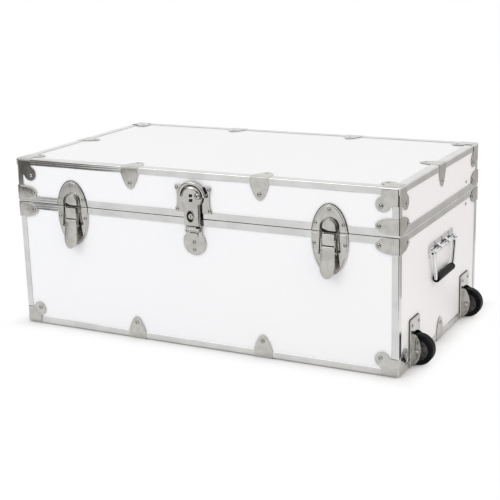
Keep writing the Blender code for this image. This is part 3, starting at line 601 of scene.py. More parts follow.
def clip_outline(out):
    """A straight-sided tongue with a rounded point, from the fold to its tip and back."""
    points = [(-out, CLIP_HALF)]
    for i in range(13):
        q = CLIP_HALF * (1 - i / 6)
        bulge = 1 - (q / CLIP_HALF) ** 2
        points.append((CLIP_STRAIGHT + (CLIP_REACH - CLIP_STRAIGHT) * bulge, q))
    return points + [(-out, -CLIP_HALF)]


def edge_places():
    """Matrices that carry a bottom front edge's clip to the six places round the case."""
    for turn, out, places in ((0, FACE, (-CLIP_X, CLIP_X)), (90, END, (0,)),
                              (180, FACE, (-CLIP_X, CLIP_X)), (270, END, (0,))):
        for place in places:
            yield Matrix.Rotation(math.radians(turn), 4, "Z") @ Matrix.Translation((place, -out, 0))


for body, level, up, out in (("base", SOLE, 1, CLIP_OUT), ("lid", TOP, -1, LID_CLIP_OUT)):
    upright = Matrix.Diagonal((1, 1, up, 1))
    places = [Matrix.Translation((0, 0, level)) @ place @ upright for place in edge_places()]
    clip = bent_sheet(clip_outline(out), FOLDED_ALONG_X, out, CLIP_FOLD, CLIP_CROWN, CLIP_WALL)
    keep(f"{body}_edge_clips", placed(clip, *places), NICKEL, body)
    for place in places:
        rivet_on_leg(body, place, FOLDED_ALONG_X[0], CLIP_RIVET, 0, out + CLIP_RISE, CLIP_DOME)
        if body == "lid":
            rivet_on_leg(body, place, FOLDED_ALONG_X[1], CLIP_RIVET, 0, out + CLIP_TOP_RISE, CLIP_TOP_DOME)

# %% Corner caps
CAP_SIDE, CAP_LOBE, CAP_LOBE_AT, CAP_RIVET = 32.2 * MM, 14 * MM, 29.6 * MM, 32.5 * MM
CAP_NECK, CAP_WALL, CAP_CROWN = 3 * MM, 1.2 * MM, mm((0.8, 0))
CAP_OUT, LID_CAP_OUT, CAP_DOME, CAP_TOP_DOME = 2.8 * MM, 2.1 * MM, 0.9, 0.3
ROUND_CORNER = ((0, 1, 2), (1, 2, 0), (2, 0, 1))
SIDES = {"front": -1, "back": 1, "left": -1, "right": 1}
CORNERS = [(f"{y}_{x}", SIDES[x], SIDES[y]) for y in ("front", "back") for x in ("left", "right")]


def cap_outline(out):
    """A square with a round lobe on its inner corner, and hollow rounds where the two meet."""
    across = CAP_SIDE + CAP_NECK - CAP_LOBE_AT
    down = math.sqrt((CAP_LOBE + CAP_NECK) ** 2 - across**2)
    lean = math.degrees(math.atan2(down, -across))
    neck = arc((CAP_SIDE + CAP_NECK, CAP_LOBE_AT - down), CAP_NECK, 180, lean, 4)
    points = [(-out, -out), (CAP_SIDE, -out), *neck]
    points += arc((CAP_LOBE_AT, CAP_LOBE_AT), CAP_LOBE, lean - 180, 270 - lean, 16)[1:-1]
    return points + [(q, p) for p, q in reversed(neck)] + [(-out, CAP_SIDE)]


def at_corner(sx, sy, height, up):
    """Carries a sheet to one of the four upright edges, at a height, facing up or down."""
    return Matrix.Translation((sx * END, sy * FACE, height)) @ Matrix.Diagonal((-sx, -sy, up, 1))


for body, level, z, up, out in (("base", "bottom", SOLE, 1, CAP_OUT), ("lid", "top", TOP, -1, LID_CAP_OUT)):
    for where, sx, sy in CORNERS:
        corner = at_corner(sx, sy, z, up)
        cap = bent_sheet(cap_outline(out), ROUND_CORNER, out, 2.5 * out, CAP_CROWN, CAP_WALL)
        keep(f"{level}_cap_{where}", placed(cap, corner), NICKEL, body, f"corner_cap_{level}_{where}")
        for plane in ROUND_CORNER[1:]:
            rivet_on_leg(body, corner, plane, CAP_RIVET, CAP_RIVET, out, CAP_DOME)
        if body == "lid":
            rivet_on_leg(body, corner, ROUND_CORNER[0], CAP_RIVET, CAP_RIVET, out, CAP_TOP_DOME)

# %% Rim clamps
CLAMP_OUT, CLAMP_STRAIGHT, CLAMP_REACH, CLAMP_RIVET = 3.0 * MM, 12 * MM, 43.5 * MM, 36 * MM
CLAMP_FOLD, CLAMP_WALL, CLAMP_CROWN = 3.0 * MM, 1.2 * MM, mm((1.2, 0.2), (2.5, 0.5))
CLAMP_RISE, CLAMP_DOME = 0.6 * MM, 0.9
FOLDED_UPRIGHT = ((0, 2, 1), (1, 2, 0))


def clamp_outline(near, far):
    """A clamp's leg between two distances from the split: straight by the corner, then half an oval."""
    middle, half = (near + far) / 2, (far - near) / 2
    half_oval = arc((CLAMP_STRAIGHT, middle), (CLAMP_REACH - CLAMP_STRAIGHT, half), -90, 90, 16)
    return [(-CLAMP_OUT, near), *half_oval, (-CLAMP_OUT, far)]


for body, up, near, far in (("base", -1, 0.4 * MM, 30 * MM), ("lid", 1, 5 * MM, 34 * MM)):
    for where, sx, sy in CORNERS:
        corner = at_corner(sx, sy, RIM, up)
        outline = clamp_outline(near, far)
        clamp = bent_sheet(outline, FOLDED_UPRIGHT, CLAMP_OUT, CLAMP_FOLD, CLAMP_CROWN, CLAMP_WALL)
        keep(f"{body}_clamp_{where}", placed(clamp, corner), NICKEL, body, f"rim_clamp_{body}_{where}")
        middle, rise = (near + far) / 2, CLAMP_OUT + CLAMP_RISE
        for plane in FOLDED_UPRIGHT:
            rivet_on_leg(body, corner, plane, CLAMP_RIVET, middle, rise, CLAMP_DOME)

# %% [markdown]
# ## Draw latches
#
# A latch is an oval plate cut in two at the split. The upper half carries a hooded catch. The lower
# half carries a box with a pin. The lever hangs on that pin by two arms and draws a bail over the hood.
# The lever's hollow tongue and the bail start flat: a plate is sliced across, and its points are moved
# out along a curve.

# %% Shapes that lie across a plate
PLATE_IN, PLATE_OUT = 1.8 * MM, 3.0 * MM
ROOT = PLATE_OUT - 0.5 * MM
PIN, PIN_END = 1.5 * MM, 0.8 * MM
ALONG = Matrix.Rotation(math.pi / 2, 4, "Y")
SIDEWAYS = Matrix(((0, 0, 1, 0), (0, 1, 0, 0), (1, 0, 0, 0), (0, 0, 0, 1)))


def lying(out, height, across=0.0):
    """Lays an upright turned shape across a plate."""
    return Matrix.Translation((across, height, out)) @ ALONG


def cross_pin(half, pivot):
    """A pin across a plate, at an (out, height) pivot, a little longer than what it passes through."""
    return placed(rod(PIN, -half - PIN_END, half + PIN_END, 12), lying(*pivot))


def side_walls(bm, outline, inner, outer, edge=0.3 * MM):
    """Two walls of one (out, up) outline, the same distance to the left and to the right."""
    for side in (-1, 1):
        low, high = sorted((side * inner, side * outer))
        add(bm, plate(outline, low, high, edge, both=True), SIDEWAYS)


# %% Catch plate and base plate
LATCH_HALF, LATCH_MIDDLE, LATCH_TALL = 36 * MM, -14.5 * MM, 65.5 * MM
LATCH_BODY, LATCH_NECK, LATCH_CUT = 14 * MM, 12.2 * MM, 0.4 * MM
HOOD_LOW, HOOD_SHOULDER, HOOD_OUT = 2 * MM, 11 * MM, 7 * MM
BOX_TOP, BOX_FOOT, BOX_OUT, BOX_EDGE = -2 * MM, -23.6 * MM, 10 * MM, 1.2 * MM
LEVER_PIVOT, BAIL_PIVOT = (7.5 * MM, -15 * MM), (10.9 * MM, -36 * MM)


def latch_oval(level, up, grow=0.0):
    """The part of a latch's oval above (up 1) or below (up -1) a level."""
    start = math.degrees(math.asin((level - LATCH_MIDDLE) / (LATCH_TALL + grow)))
    return arc((0, LATCH_MIDDLE), (LATCH_HALF + grow, LATCH_TALL + grow), start, up * 180 - start, 28)


def oval_plate(up):
    """One half of the oval, with a shallow step pressed in along its edge."""
    bm = plate(latch_oval(up * LATCH_CUT, up), PLATE_IN, PLATE_OUT, 1.0 * MM, 3)
    return stamp(bm, *mm((1.4, 0), (0.8, -0.4), (1.0, 0.7)))


def catch_plate():
    hood = [(-LATCH_BODY, HOOD_LOW), (LATCH_BODY, HOOD_LOW)]
    hood += arc((0, HOOD_SHOULDER), LATCH_BODY, 0, 180, 16)
    return add(oval_plate(1), plate(hood, ROOT, HOOD_OUT, 2.4 * MM, 4))


def catch_shadows():
    """Painted shade: the dark gap round the upper plate, and the opening under the hood, higher at its
    left.
    """
    gap = plate(latch_oval(0.8 * MM, 1, 0.9 * MM), PLATE_IN - 0.6 * MM, PLATE_OUT - 0.7 * MM)
    opening = mm((-13.5, 0.6), (13.5, 0.6), (13.5, 2.6), (0, 3), (-13.5, 8))
    return add(gap, plate(opening, ROOT, HOOD_OUT + 0.1 * MM))


def latch_base():
    """The lower half of the oval, with a box whose pin carries the lever."""
    bm = oval_plate(-1)
    add(bm, plate(rounded_box(LATCH_NECK, BOX_FOOT, BOX_TOP, BOX_EDGE), ROOT, BOX_OUT, BOX_EDGE, 3))
    return add(bm, cross_pin(LATCH_BODY, LEVER_PIVOT))


# %% Lever
LEVER_TOP, LEVER_TIP, LEVER_DEEP, LEVER_CROWN = -24.8 * MM, -83 * MM, 5 * MM, 1.2 * MM
TIP_HALF, TIP_TALL = 15 * MM, 22 * MM
BAIL_HALF = 17.4 * MM


def steps_between(start, end, count):
    return [start + (end - start) * i / count for i in range(1, count)]


def curve_out(t, start, slope, bend):
    """How far out a curve is at a share t of its length; its three terms are in millimetres."""
    return (start + slope * t + bend * t * t) * MM


def tongue(inset, low, high, edge=0.0):
    """A layer of the lever's tongue: drawn in all round, and between two shares of its depth.

    The tongue leaves the plate along one curve at its back and one at its crowned front."""
    half = LATCH_BODY - inset
    outline = [(half, LEVER_TOP - inset), (-half, LEVER_TOP - inset)]
    outline += arc((0, LEVER_TIP + TIP_TALL), (TIP_HALF - inset, TIP_TALL - inset), 180, 360, 18)
    bm = plate(outline, low * LEVER_DEEP, high * LEVER_DEEP, edge, 3)
    sliced(bm, 1, *steps_between(LEVER_TOP, LEVER_TIP, 9))
    sliced(bm, 0, *steps_between(-LATCH_BODY, LATCH_BODY, 6))
    for vert in bm.verts:
        t = (LEVER_PIVOT[1] - vert.co.y) / (LEVER_PIVOT[1] - LEVER_TIP)
        back = curve_out(t, 5.6, 7.7, 3.3)
        front = curve_out(t, 11.3, 6.4, 2.3) - LEVER_CROWN * (vert.co.x / LATCH_BODY) ** 2
        vert.co.z = back + (front - back) * vert.co.z / LEVER_DEEP
    return bm


def lever():
    """The tongue's front and its thin back, two arms to the pin in the box, and the bail's own pin."""
    bm = add(tongue(0, 0.3, 1.0, 1.3 * MM), tongue(1 * MM, -0.06, 0.04))
    arm = arc(LEVER_PIVOT, 3 * MM, 0, 180, 8) + mm((6.5, -30), (11, -30))
    side_walls(bm, arm, LATCH_NECK + 0.2 * MM, LATCH_BODY)
    return add(bm, cross_pin(BAIL_HALF, BAIL_PIVOT))


# %% Bail
BAIL_STRAP, BAIL_SHOULDER = 1.5 * MM, 10 * MM
BAIL_HALF_DEEP, BAIL_SINK, BAIL_EYE = 2 * MM, 4.6 * MM, 3.5 * MM


def bail():
    """A strap bent to an arch: its ends hook on the lever's pin and its top lies round the hood."""
    out, foot = BAIL_PIVOT
    inner = BAIL_HALF - BAIL_STRAP
    outline = [(BAIL_HALF, foot), *arc((0, BAIL_SHOULDER), BAIL_HALF, 0, 180, 18), (-BAIL_HALF, foot)]
    outline += [(-inner, foot), *arc((0, BAIL_SHOULDER), inner, 180, 0, 18), (inner, foot)]
    bm = plate(outline, -BAIL_HALF_DEEP, BAIL_HALF_DEEP, 0.7 * MM, both=True)
    sliced(bm, 1, *steps_between(foot, 0, 7))
    for vert in bm.verts:
        t = min(1.0, (vert.co.y - foot) / -foot)
        vert.co.z += out - BAIL_SINK * t * t * (3 - 2 * t)
    eye = rod(BAIL_EYE, inner, BAIL_HALF, 16)
    return add(bm, eye, lying(out, foot), Matrix.Diagonal((-1, 1, 1, 1)) @ lying(out, foot))


# %% [markdown]
# A bail is spring steel. Its colour is painted reflection: dark on its legs, and bright round the hood
# and along its outer sides. A mask of the Object coordinates tells the bright places from the dark ones.


# %% Spring steel
def spring_steel():
    look, place = new_look("spring_steel")
    x, y, z = place.axes()
    across = abs(abs(x) - middle_of("latch_right_base_plate").x)
    side = across.ramp(BAIL_HALF - 0.5 * MM, BAIL_HALF - 0.2 * MM)
    # painted reflection: bright on the outer sides and round the top, dark on the legs
    painted_sheen = side.math("MAXIMUM", 0.8 * side, z.ramp(RIM + 12 * MM, RIM + 24 * MM))
    smear = place.noise(60.0, 4.0)
    return dress(look, {
        "Base Color": painted_sheen.mix((0.10, 0.095, 0.085, 1), (0.52, 0.50, 0.47, 1)),
        "Metallic": 1.0,
        "Roughness": 0.1 + 0.1 * smear,
    })


STEEL = spring_steel()

# %% Two latches on the front
for side in ("left", "right"):
    latch = on("front", middle_of(f"latch_{side}_base_plate").x, RIM)
    for piece, shape, look, body in (("catch_plate", catch_plate(), NICKEL, "lid"),
                                     ("base_plate", latch_base(), NICKEL, "base"),
                                     ("lever", lever(), NICKEL, f"latch_{side}_lever"),
                                     ("bail", bail(), STEEL, f"latch_{side}_bail")):
        node = f"latch_{side}_{piece}"
        keep(f"{node}_pressed", placed(shape, latch), look, body, node)
    # Painted shade round the upper plate and under the hood.
    keep(f"latch_{side}_shadows", placed(catch_shadows(), latch), PAINTED_SHADE, "lid")
    # The lever's hollow back is painted shade.
    hollow = placed(tongue(0.5 * MM, 0.0, 0.35), latch)
    keep(f"latch_{side}_lever_painted_shade", hollow, PAINTED_SHADE, f"latch_{side}_lever")
    rivets("lid", latch, PLATE_OUT, 0.85, (0, 41.5), (-27, 15.5), (27, 15.5))
    rivets("base", latch, PLATE_OUT, 0.85, (-30, -22), (30, -22))

# %% [markdown]
# ## The hasp lock
#
# A waisted strike plate on the lid carries a half-round hood, and the hasp's round head sits in it.
# The hasp's strap comes down over the split to a knuckle on the base. Keyholes are shown by a ring
# with a dark bottom of painted shade, which holds its shape better than a hole cut through a thick
# stamping.

# %% Strike plate with its hood
STRIKE_HALF, STRIKE_WAIST, STRIKE_LOW, STRIKE_HIGH = 39 * MM, 4 * MM, 11 * MM, 62.9 * MM
BULB, BULB_RISE, STRAP_HALF = 22.3 * MM, 42 * MM, 17.5 * MM
SHROUD_IN, SHROUD_OUT, SHROUD_PROUD = BULB + 1 * MM, BULB + 7.7 * MM, 11 * MM


def strike_plate():
    middle, tall = (STRIKE_LOW + STRIKE_HIGH) / 2, (STRIKE_HIGH - STRIKE_LOW) / 2
    outline = []
    for side in (1, -1):
        for i in range(9):
            across = -1 + i / 4
            half = STRIKE_HALF - STRIKE_WAIST * (1 - across**2)
            outline.append((side * half, middle + side * across * tall))
    centre = (0, BULB_RISE)
    shroud = arc(centre, SHROUD_OUT, 0, 180, 24) + arc(centre, SHROUD_IN, 180, 0, 24)
    bm = plate(outline, PLATE_IN, PLATE_OUT, 0.6 * MM, 3)
    return add(bm, plate(shroud, ROOT, SHROUD_PROUD, 3 * MM, 6))


# %% Hasp
HASP_OUT, HASP_PIVOT = 13 * MM, (9.5 * MM, -21 * MM)
HASP_FOOT, HASP_SHELL = HASP_PIVOT[1] + 6.5 * MM, 6.2 * MM
BACK_LOW, BACK_HIGH, WEB_LOW, WEB_HIGH = 3.3 * MM, 3.8 * MM, 6 * MM, 12.6 * MM
BARREL, BARREL_HALF, COLLAR, COLLAR_HALF = 3.5 * MM, 10 * MM, 4.3 * MM, 1.3 * MM
KEYHOLES = [Matrix.Translation((1 * MM, height, HASP_OUT)) for height in (46 * MM, 37 * MM)]
KEYHOLE, KEYHOLE_RIM, KEYHOLE_TALL = 3.4 * MM, 4.2 * MM, 0.5 * MM
KEY = Matrix.Translation((0, 6 * MM, HASP_OUT))
BOSS, BOSS_RIM, BOSS_TALL = 11 * MM, 12.8 * MM, 1.5 * MM
OVAL = Matrix.Translation((-1.2 * MM, 0, 0)) @ Matrix.Diagonal((0.6, 1.0, 1.0, 1))


def head_and_strap(centre, foot, head=BULB, inset=0.0):
    """A round head with a straight strap from it to the foot."""
    head, half = head - inset, STRAP_HALF - inset
    neck = math.degrees(math.acos(half / head))
    up = 1 if foot < centre else -1
    outline = arc((0, centre), head, -up * neck, up * (180 + neck), 26)
    return outline + [(-half, foot + up * inset), (half, foot + up * inset)]


def eyelet(hole, rim, tall):
    """A rounded ring."""
    sunk = -1 * MM
    return turned([(hole, sunk), (hole, 0.5 * tall), ((hole + rim) / 2, tall), (rim, 0.5 * tall),
                   (rim, sunk), (hole, sunk)], 20)


def hasp():
    """A hollow shell with a rounded front and a thin back, ringed keyholes, and a barrel at its foot."""
    bm = plate(head_and_strap(BULB_RISE, HASP_FOOT), HASP_SHELL, HASP_OUT, 6.5 * MM, 6)
    add(bm, plate(head_and_strap(BULB_RISE, HASP_FOOT, inset=2 * MM), BACK_LOW, BACK_HIGH))
    add(bm, eyelet(KEYHOLE, KEYHOLE_RIM, KEYHOLE_TALL), *KEYHOLES)
    add(bm, eyelet(BOSS, BOSS_RIM, BOSS_TALL), KEY @ OVAL)
    web = rounded_box(BARREL_HALF, HASP_PIVOT[1], HASP_FOOT + 0.5 * MM, 0.5 * MM)
    add(bm, plate(web, WEB_LOW, WEB_HIGH, 1.0 * MM))
    collars = [lying(*HASP_PIVOT, across * MM) for across in (-8.5, -2.8, 2.8, 8.5)]
    add(bm, rod(COLLAR, -COLLAR_HALF, COLLAR_HALF), *collars)
    return add(bm, rod(BARREL, -BARREL_HALF, BARREL_HALF), lying(*HASP_PIVOT))


# %% Lock base and key plug
DISC, DISC_FALL, EAR, EAR_IN, EAR_OUT = 24.4 * MM, -47 * MM, 4.5 * MM, 10.4 * MM, 14.4 * MM
STRAP_TOP, PAD_HALF, PAD_LOW, PAD_HIGH, PAD_OUT = -2 * MM, 9 * MM, -37 * MM, -27 * MM, 6 * MM


def lock_base():
    """A short strap with a round foot, two ears with the hasp's pin, and a raised pad."""
    bm = plate(head_and_strap(DISC_FALL, STRAP_TOP, DISC), PLATE_IN, PLATE_OUT, 0.7 * MM, 3)
    stamp(bm, *mm((2.0, 0), (1.2, 0.5)))
    height = HASP_PIVOT[1]
    ear = arc(HASP_PIVOT, EAR, -90, 90, 8) + [(ROOT, height + EAR), (ROOT, height - EAR)]
    side_walls(bm, ear, EAR_IN, EAR_OUT)
    add(bm, cross_pin(EAR_OUT, HASP_PIVOT))
    pad = rounded_box(PAD_HALF, PAD_LOW, PAD_HIGH, 2.5 * MM)
    return add(bm, plate(pad, ROOT, PAD_OUT, 1.4 * MM, 3))


def hasp_painted_shade(lock):
    """Painted shade: dark bottoms in the keyholes and the key's oval, and a dark inside for the shell."""
    floor_low, floor_high, lap = -0.8 * MM, 0.1 * MM, 0.2 * MM
    keyholes = [lock @ keyhole for keyhole in KEYHOLES]
    bm = placed(disc(KEYHOLE + lap, floor_low, floor_high, 16), *keyholes)
    add(bm, disc(BOSS + lap, floor_low, floor_high, 24), lock @ KEY @ OVAL)
    inside = head_and_strap(BULB_RISE, HASP_FOOT, inset=1.4 * MM)
    return add(bm, plate(inside, BACK_HIGH - lap, HASP_SHELL + 0.5 * MM), lock)


lock = on("front", 0, RIM)
for node, shape, body in (("lock_strike_plate", strike_plate(), "lid"),
                          ("lock_base_plate", lock_base(), "base"), ("lock_hasp", hasp(), "hasp")):
    keep(f"{node}_pressed", placed(shape, lock), NICKEL, body, node)

plug = turned(mm((0, -9), (5.4, -9), (5.4, 0.6), (4.9, 1), (0, 1)))
keep("key_plug_turned", placed(plug, lock @ KEY), NICKEL, "key_plug", "lock_key_plug")
# The key's slot is a dark plate of painted shade on the plug.
key_slot_painted_shade = plate(rounded_box(0.7 * MM, -3.2 * MM, 3.2 * MM, 0.5 * MM), 0.4 * MM, 1.06 * MM)
keep("key_slot_painted_shade", placed(key_slot_painted_shade, lock @ KEY), PAINTED_SHADE, "key_plug")
# Painted shade in the keyholes, the key's oval and the shell.
keep("hasp_painted_shade", hasp_painted_shade(lock), PAINTED_SHADE, "hasp")

rivets("lid", lock, PLATE_OUT, 0.85, (-35, 16.5), (-35, 57.5), (35, 16.5), (35, 57.5))
rivets("base", lock, PLATE_OUT + 0.4 * MM, 0.9, (0, -46), (0, -61))
rivets("hasp", lock, HASP_OUT - 0.4 * MM, 1.5, (15.5, 46))

# %% [markdown]
# ## Drop handles
#
# A chrome bracket holds a spindle away from the end panel, and a wire bail swings on it. The bail is
# one circle carried along its path: extruded down a leg, spun round a corner, and so on to the other
# leg. The black grip is moulded over the cross bar.

# %% Handle bracket
HANDLE_HALF, HANDLE_OUT = 62 * MM, 8 * MM
BRACKET_HALF, BRACKET_LOW, BRACKET_HIGH = HANDLE_HALF + 10 * MM, -10 * MM, 18 * MM
BRACKET_CORNER, BRACKET_ROOT, BRACKET_OUT = 8 * MM, 1.3 * MM, 1.8 * MM
SPINDLE, LUG, LUG_WIDE = 2.5 * MM, 4.5 * MM, 3 * MM
LUGS = (HANDLE_HALF - 8.5 * MM, HANDLE_HALF + 5.5 * MM)
SADDLE, SADDLE_FOOT, SADDLE_IN, SADDLE_FAR = 5 * MM, 9 * MM, 18 * MM, 27 * MM


def lug_outline(centre_out, radius, foot):
    """A wall that stands on the bracket, (out, up): a round head on a foot of this half height."""
    head = arc((centre_out, 0), radius, -90, 90, 10)
    return head + [(BRACKET_ROOT, foot), (BRACKET_ROOT, -foot)]


def handle_bracket():
    """A rounded plate, the spindle, a lug on each side of each eye, and two saddles between."""
    outline = rounded_box(BRACKET_HALF, BRACKET_LOW, BRACKET_HIGH, BRACKET_CORNER)
    bm = plate(outline, SEAT, BRACKET_OUT, 0.6 * MM, 3)
    stamp(bm, *mm((2, 0), (1.2, 0.7)))
    reach = BRACKET_HALF - 1.5 * MM
    add(bm, rod(SPINDLE, -reach, reach), lying(HANDLE_OUT, 0))
    for inner in LUGS:
        side_walls(bm, lug_outline(HANDLE_OUT, LUG, LUG), inner, inner + LUG_WIDE)
    saddle = lug_outline(HANDLE_OUT - 1 * MM, SADDLE, SADDLE_FOOT)
    side_walls(bm, saddle, SADDLE_IN, SADDLE_FAR, 1.2 * MM)
    return bm


# %% Wire bail
HANDLE_FOOT, HANDLE_DROP = 50 * MM, 55 * MM
WIRE, WIRE_CORNER, EYE, EYE_HALF = 3.5 * MM, 5 * MM, 5.5 * MM, 4.5 * MM


def edges_in(geom):
    return [item for item in geom if isinstance(item, bmesh.types.BMEdge)]


def drawn(bm, edges, move):
    """Extrudes a loop and gives the new loop."""
    made = bmesh.ops.extrude_edge_only(bm, edges=edges)["geom"]
    bmesh.ops.translate(bm, vec=move, verts=verts_in(made))
    return [e for e in edges_in(made) if not any(v in old.verts for old in edges for v in e.verts)]


def rounded_turn(bm, edges, centre):
    """Spins a loop through a quarter turn about the outward axis and gives the new loop."""
    verts = {v for e in edges for v in e.verts}
    made = bmesh.ops.spin(bm, geom=[*verts, *edges], cent=centre, axis=(0, 0, 1),
                          angle=math.pi / 2, steps=7)
    return edges_in(made["geom_last"])


def handle_bail():
    bm = bmesh.new()
    start = Matrix.Translation((-HANDLE_HALF, 0, HANDLE_OUT)) @ Matrix.Rotation(math.pi / 2, 4, "X")
    bmesh.ops.create_circle(bm, segments=16, radius=WIRE, matrix=start)
    corner, low = HANDLE_FOOT - WIRE_CORNER, WIRE_CORNER - HANDLE_DROP
    lean = HANDLE_HALF - HANDLE_FOOT
    loop = drawn(bm, bm.edges[:], (lean, low, 0))
    loop = rounded_turn(bm, loop, (-corner, low, HANDLE_OUT))
    loop = drawn(bm, loop, (2 * corner, 0, 0))
    loop = rounded_turn(bm, loop, (corner, low, HANDLE_OUT))
    drawn(bm, loop, (lean, -low, 0))
    bmesh.ops.holes_fill(bm, edges=[e for e in bm.edges if e.is_boundary], sides=0)
    bmesh.ops.recalc_face_normals(bm, faces=bm.faces)
    eye = rod(EYE, -EYE_HALF, EYE_HALF, 24, 1 * MM)
    return add(bm, eye, *[lying(HANDLE_OUT, 0, side * HANDLE_HALF) for side in (-1, 1)])


# %% Grip, and two handles
GRIP, GRIP_GROOVE, GRIP_ROUND = 7.2 * MM, 6.6 * MM, 2 * MM
GRIP_HALF = HANDLE_FOOT - 1.5 * MM


def handle_grip():
    """A bar with rounded ends and a shallow groove before each end."""
    half = [(GRIP, 0), (GRIP, GRIP_HALF - 9 * MM), (GRIP_GROOVE, GRIP_HALF - 8.4 * MM),
            (GRIP_GROOVE, GRIP_HALF - 7.6 * MM), (GRIP, GRIP_HALF - 7 * MM)]
    half += arc((GRIP - GRIP_ROUND, GRIP_HALF - GRIP_ROUND), GRIP_ROUND, 0, 90, 4) + [(0, GRIP_HALF)]
    profile = [(radius, -along) for radius, along in reversed(half[1:])] + half
    return placed(turned(profile, 28), lying(HANDLE_OUT, -HANDLE_DROP))


for side in ("left", "right"):
    place = on(side, 0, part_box(f"handle_{side}_bail")[1].z - EYE)
    for piece, shape, look, body in (("bracket", handle_bracket(), CHROME, "base"),
                                     ("bail", handle_bail(), CHROME, f"handle_{side}"),
                                     ("grip", handle_grip(), RUBBER, f"handle_{side}")):
        node = f"handle_{side}_{piece}"
        keep(f"{node}_formed", placed(shape, place), look, body, node)
    rivets("base", place, BRACKET_OUT + 0.4 * MM, 0.9, (-40, 12), (0, 12), (40, 12))

# %% [markdown]
# ## Tow wheels
#
# Each wheel runs in a pan let into the end panel, between two half-round cheeks on a folded plate.
# The tyre and the hub are turned, and the hub's ribs are one bar repeated round the axle.

# %% Wheel bracket
WHEEL, AXLE_OUT, AXLE_RISE = 29.5 * MM, 11.5 * MM, 28.8 * MM
FORK_HALF, FORK_TALL, FORK_FOOT, FORK_CORNER = 25 * MM, 3 * WHEEL, 0.5 * MM, 3 * MM
FORK_IN, FORK_OUT = 1.6 * MM, 4.5 * MM
DOOR, DOOR_TOP = 13 * MM, 60.3 * MM
PAN, PAN_FOOT, PAN_TOP, PAN_BACK = 14.5 * MM, 9.8 * MM, 61.8 * MM, -21.5 * MM
PAN_CORNER, PAN_WALL, PAN_FRONT = 1 * MM, 1.5 * MM, 2 * MM
CHEEK_RISE, CHEEK_OUT, CHEEK_TALL = AXLE_RISE + 2.5 * MM, 15 * MM, 29 * MM
CHEEK_ROOT = 3 * MM


def archway(half, top, foot, corner):
    """An upside-down U with round corners outside, about the square doorway that the wheel runs in."""
    outside = arc((half - corner, top - corner), corner, 0, 90, 4)
    outside += arc((corner - half, top - corner), corner, 90, 180, 4)
    doorway = [(-DOOR, foot), (-DOOR, DOOR_TOP), (DOOR, DOOR_TOP), (DOOR, foot)]
    return [(half, foot), *outside, (-half, foot), *doorway]


def wheel_bracket():
    """The front plate, the pan's walls, the pan's back, and a cheek on each side of the wheel."""
    front = archway(FORK_HALF, FORK_TALL, FORK_FOOT, FORK_CORNER)
    bm = plate(front, FORK_IN, FORK_OUT, 0.8 * MM, 3)
    add(bm, plate(archway(PAN, PAN_TOP, PAN_FOOT, PAN_CORNER), PAN_BACK + 1 * MM, PAN_FRONT))
    add(bm, plate(rounded_box(PAN, PAN_FOOT, PAN_TOP, PAN_CORNER), PAN_BACK, PAN_BACK + PAN_WALL))
    cheek = arc((FORK_OUT, CHEEK_RISE), (CHEEK_OUT, CHEEK_TALL), -90, 90, 20)
    cheek += [(CHEEK_ROOT, CHEEK_RISE + CHEEK_TALL), (CHEEK_ROOT, CHEEK_RISE - CHEEK_TALL)]
    side_walls(bm, cheek, DOOR, PAN, 0.4 * MM)
    return bm


def bracket_painted_shade():
    """Painted shade: a thin dark rim wider than the plate, for the gap under the bracket's plate."""
    outline = archway(FORK_HALF + 0.3 * MM, FORK_TALL + 0.5 * MM, BOTTOM_RISE + SEAT, FORK_CORNER)
    return plate(outline, SEAT, FORK_IN + 0.3 * MM)


# %% Axle, tyre and hub
AXLE, AXLE_HALF, SHOULDER, TREAD_GROOVE = 3 * MM, 15 * MM, 4 * MM, 0.5 * MM
RIBS, RIB_HALF, RIB_IN, RIB_OUT, RIB_DEEP = 6, 1.1 * MM, 9.6 * MM, 18.8 * MM, 9 * MM


def wheel_axle():
    """A bar with a flat rivet head at each end."""
    head = turned(mm((0, 14.8), (4.6, 14.8), (4.4, 15.8), (3, 16.6), (0, 16.8)), 20)
    bm = rod(AXLE, -AXLE_HALF, AXLE_HALF)
    return add(bm, head, Matrix.Identity(4), Matrix.Rotation(math.pi, 4, "X"))


def both_halves(half):
    """A closed profile from its upper half."""
    return half + [(radius, -across) for radius, across in reversed(half)] + half[:1]


def tyre():
    """Side wall with a fine line, shoulder, and a tread with two shallow grooves."""
    half = mm((19, 9.4), (21, 11), (24, 11), (24.4, 10.6), (25, 11))
    half += arc((WHEEL - SHOULDER, 7 * MM), SHOULDER, 80, 0, 5)
    groove = WHEEL - TREAD_GROOVE
    half += [(WHEEL, 5 * MM), (groove, 4.6 * MM), (groove, 4.2 * MM), (WHEEL, 3.8 * MM)]
    return turned(both_halves(half), 48)


def hub():
    """A boss, a web and a rim, with ribs from the boss to the rim."""
    half = mm((3.3, 11), (9, 11), (10, 10), (10.4, 6), (18, 6), (18.4, 9.8), (19.6, 9.8))
    rib = rounded_box(RIB_HALF, RIB_IN, RIB_OUT, 0.4 * MM)
    rib = plate(rib, -RIB_DEEP, RIB_DEEP, 0.5 * MM, both=True)
    turns = [Matrix.Rotation(math.tau * i / RIBS, 4, "Z") for i in range(RIBS)]
    return add(turned(both_halves(half), 40), rib, *turns)


